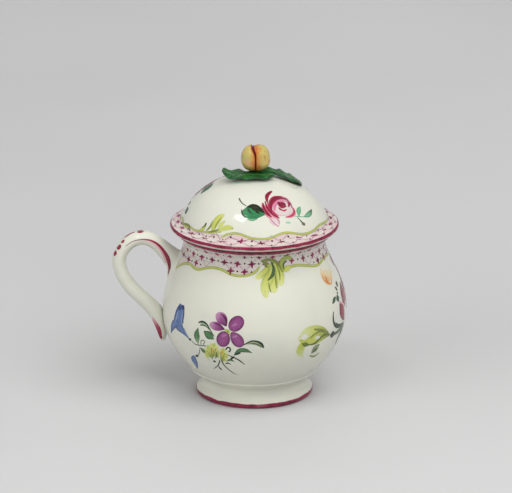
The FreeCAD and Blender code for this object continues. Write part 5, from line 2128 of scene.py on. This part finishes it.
# %% All the paint
painted = [brush.finished(ENAMEL)
           for brush in (neck_band, cup_flowers, cover_band, cover_flowers, handle_brush)]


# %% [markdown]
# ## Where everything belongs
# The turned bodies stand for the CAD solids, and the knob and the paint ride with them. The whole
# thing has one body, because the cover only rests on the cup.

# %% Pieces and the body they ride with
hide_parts("cup")
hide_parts("cover")
slots = [(cup, "porcelain"), (cover, "porcelain"), (fruit, "fruit_glaze"), (leaves, "leaf_glaze")]
for piece, slot in slots + [(piece, "enamel") for piece in painted]:
    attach(piece, "root")


# %% [markdown]
# ## A plain studio
# The table is one pale sheet that curves up behind. The strongest lamp is a large soft box at the
# upper right, as in the photograph, where the main shadow falls to the left. A weaker one fills in
# from the left, a third touches the edges from behind, and an even grey dome lights the rest. The
# glaze mirrors only the small lamp overhead, as the real cup shows a small bright window and no more.

# %% Floor and backdrop
def make_sheet():
    """A pale sheet: flat in front, curved up behind, 3 m wide."""
    flat_to, rise_from, bend, top = -2.0, 0.9, 0.5, 2.2
    outline = [(flat_to, 0.0), (0.0, 0.0), (rise_from, 0.0)]
    outline += [(rise_from + bend * sin(a), bend * (1 - cos(a))) for a in np.linspace(0.1, pi / 2, 16)]
    outline.append((rise_from + bend, top))
    places = [(x, y, z) for y, z in outline for x in (-1.5, 1.5)]
    faces = [(2 * i, 2 * i + 1, 2 * i + 3, 2 * i + 2) for i in range(len(outline) - 1)]
    mesh = bpy.data.meshes.new("backdrop")
    mesh.from_pydata(places, [], faces)
    mesh.shade_smooth()
    material, w, surface = new_material("backdrop_paper", 0.85)
    surface.inputs["Specular IOR Level"].default_value = 0.2
    colour = mixed(w, between(w, noise(w, 3.0), 0.3, 0.7), (0.52, 0.52, 0.52, 1), (0.56, 0.56, 0.56, 1))
    w.tree.links.new(colour, surface.inputs["Base Color"])
    bumped(w, surface, noise(w, 900.0), 0.05, 0.0005)
    mesh.materials.append(material)
    return new_object("backdrop", mesh)


make_sheet()


# %% Lamps
def soft_box(name, place, size, power, mirrored=True):
    """mirrored says whether the glaze shows a reflection of the box."""
    data = bpy.data.lights.new(name, "AREA")
    data.shape = "RECTANGLE"
    data.size, data.size_y = size
    data.energy = power
    lamp = bpy.data.objects.new(name, data)
    bpy.context.scene.collection.objects.link(lamp)
    lamp.location = place
    lamp.visible_glossy = mirrored
    toward = Vector((0, 0, 0.045)) - lamp.location
    lamp.rotation_euler = toward.to_track_quat("-Z", "Y").to_euler()
    return lamp


soft_box("key", (0.5, -0.55, 1.05), (1.2, 1.2), 14.0, mirrored=False)
soft_box("fill", (-1.1, -0.9, 0.7), (1.0, 1.0), 7.0, mirrored=False)
soft_box("back", (-0.1, 0.9, 0.9), (1.0, 0.5), 2.5, mirrored=False)
soft_box("overhead", (-0.34, -0.36, 1.05), (0.3, 0.16), 1.0)
world = bpy.data.worlds.new("studio")
world.use_nodes = True
world.node_tree.nodes["Background"].inputs[0].default_value = (0.8, 0.8, 0.8, 1)
world.node_tree.nodes["Background"].inputs[1].default_value = 0.5
bpy.context.scene.world = world
bpy.context.scene.view_settings.view_transform = "Standard"
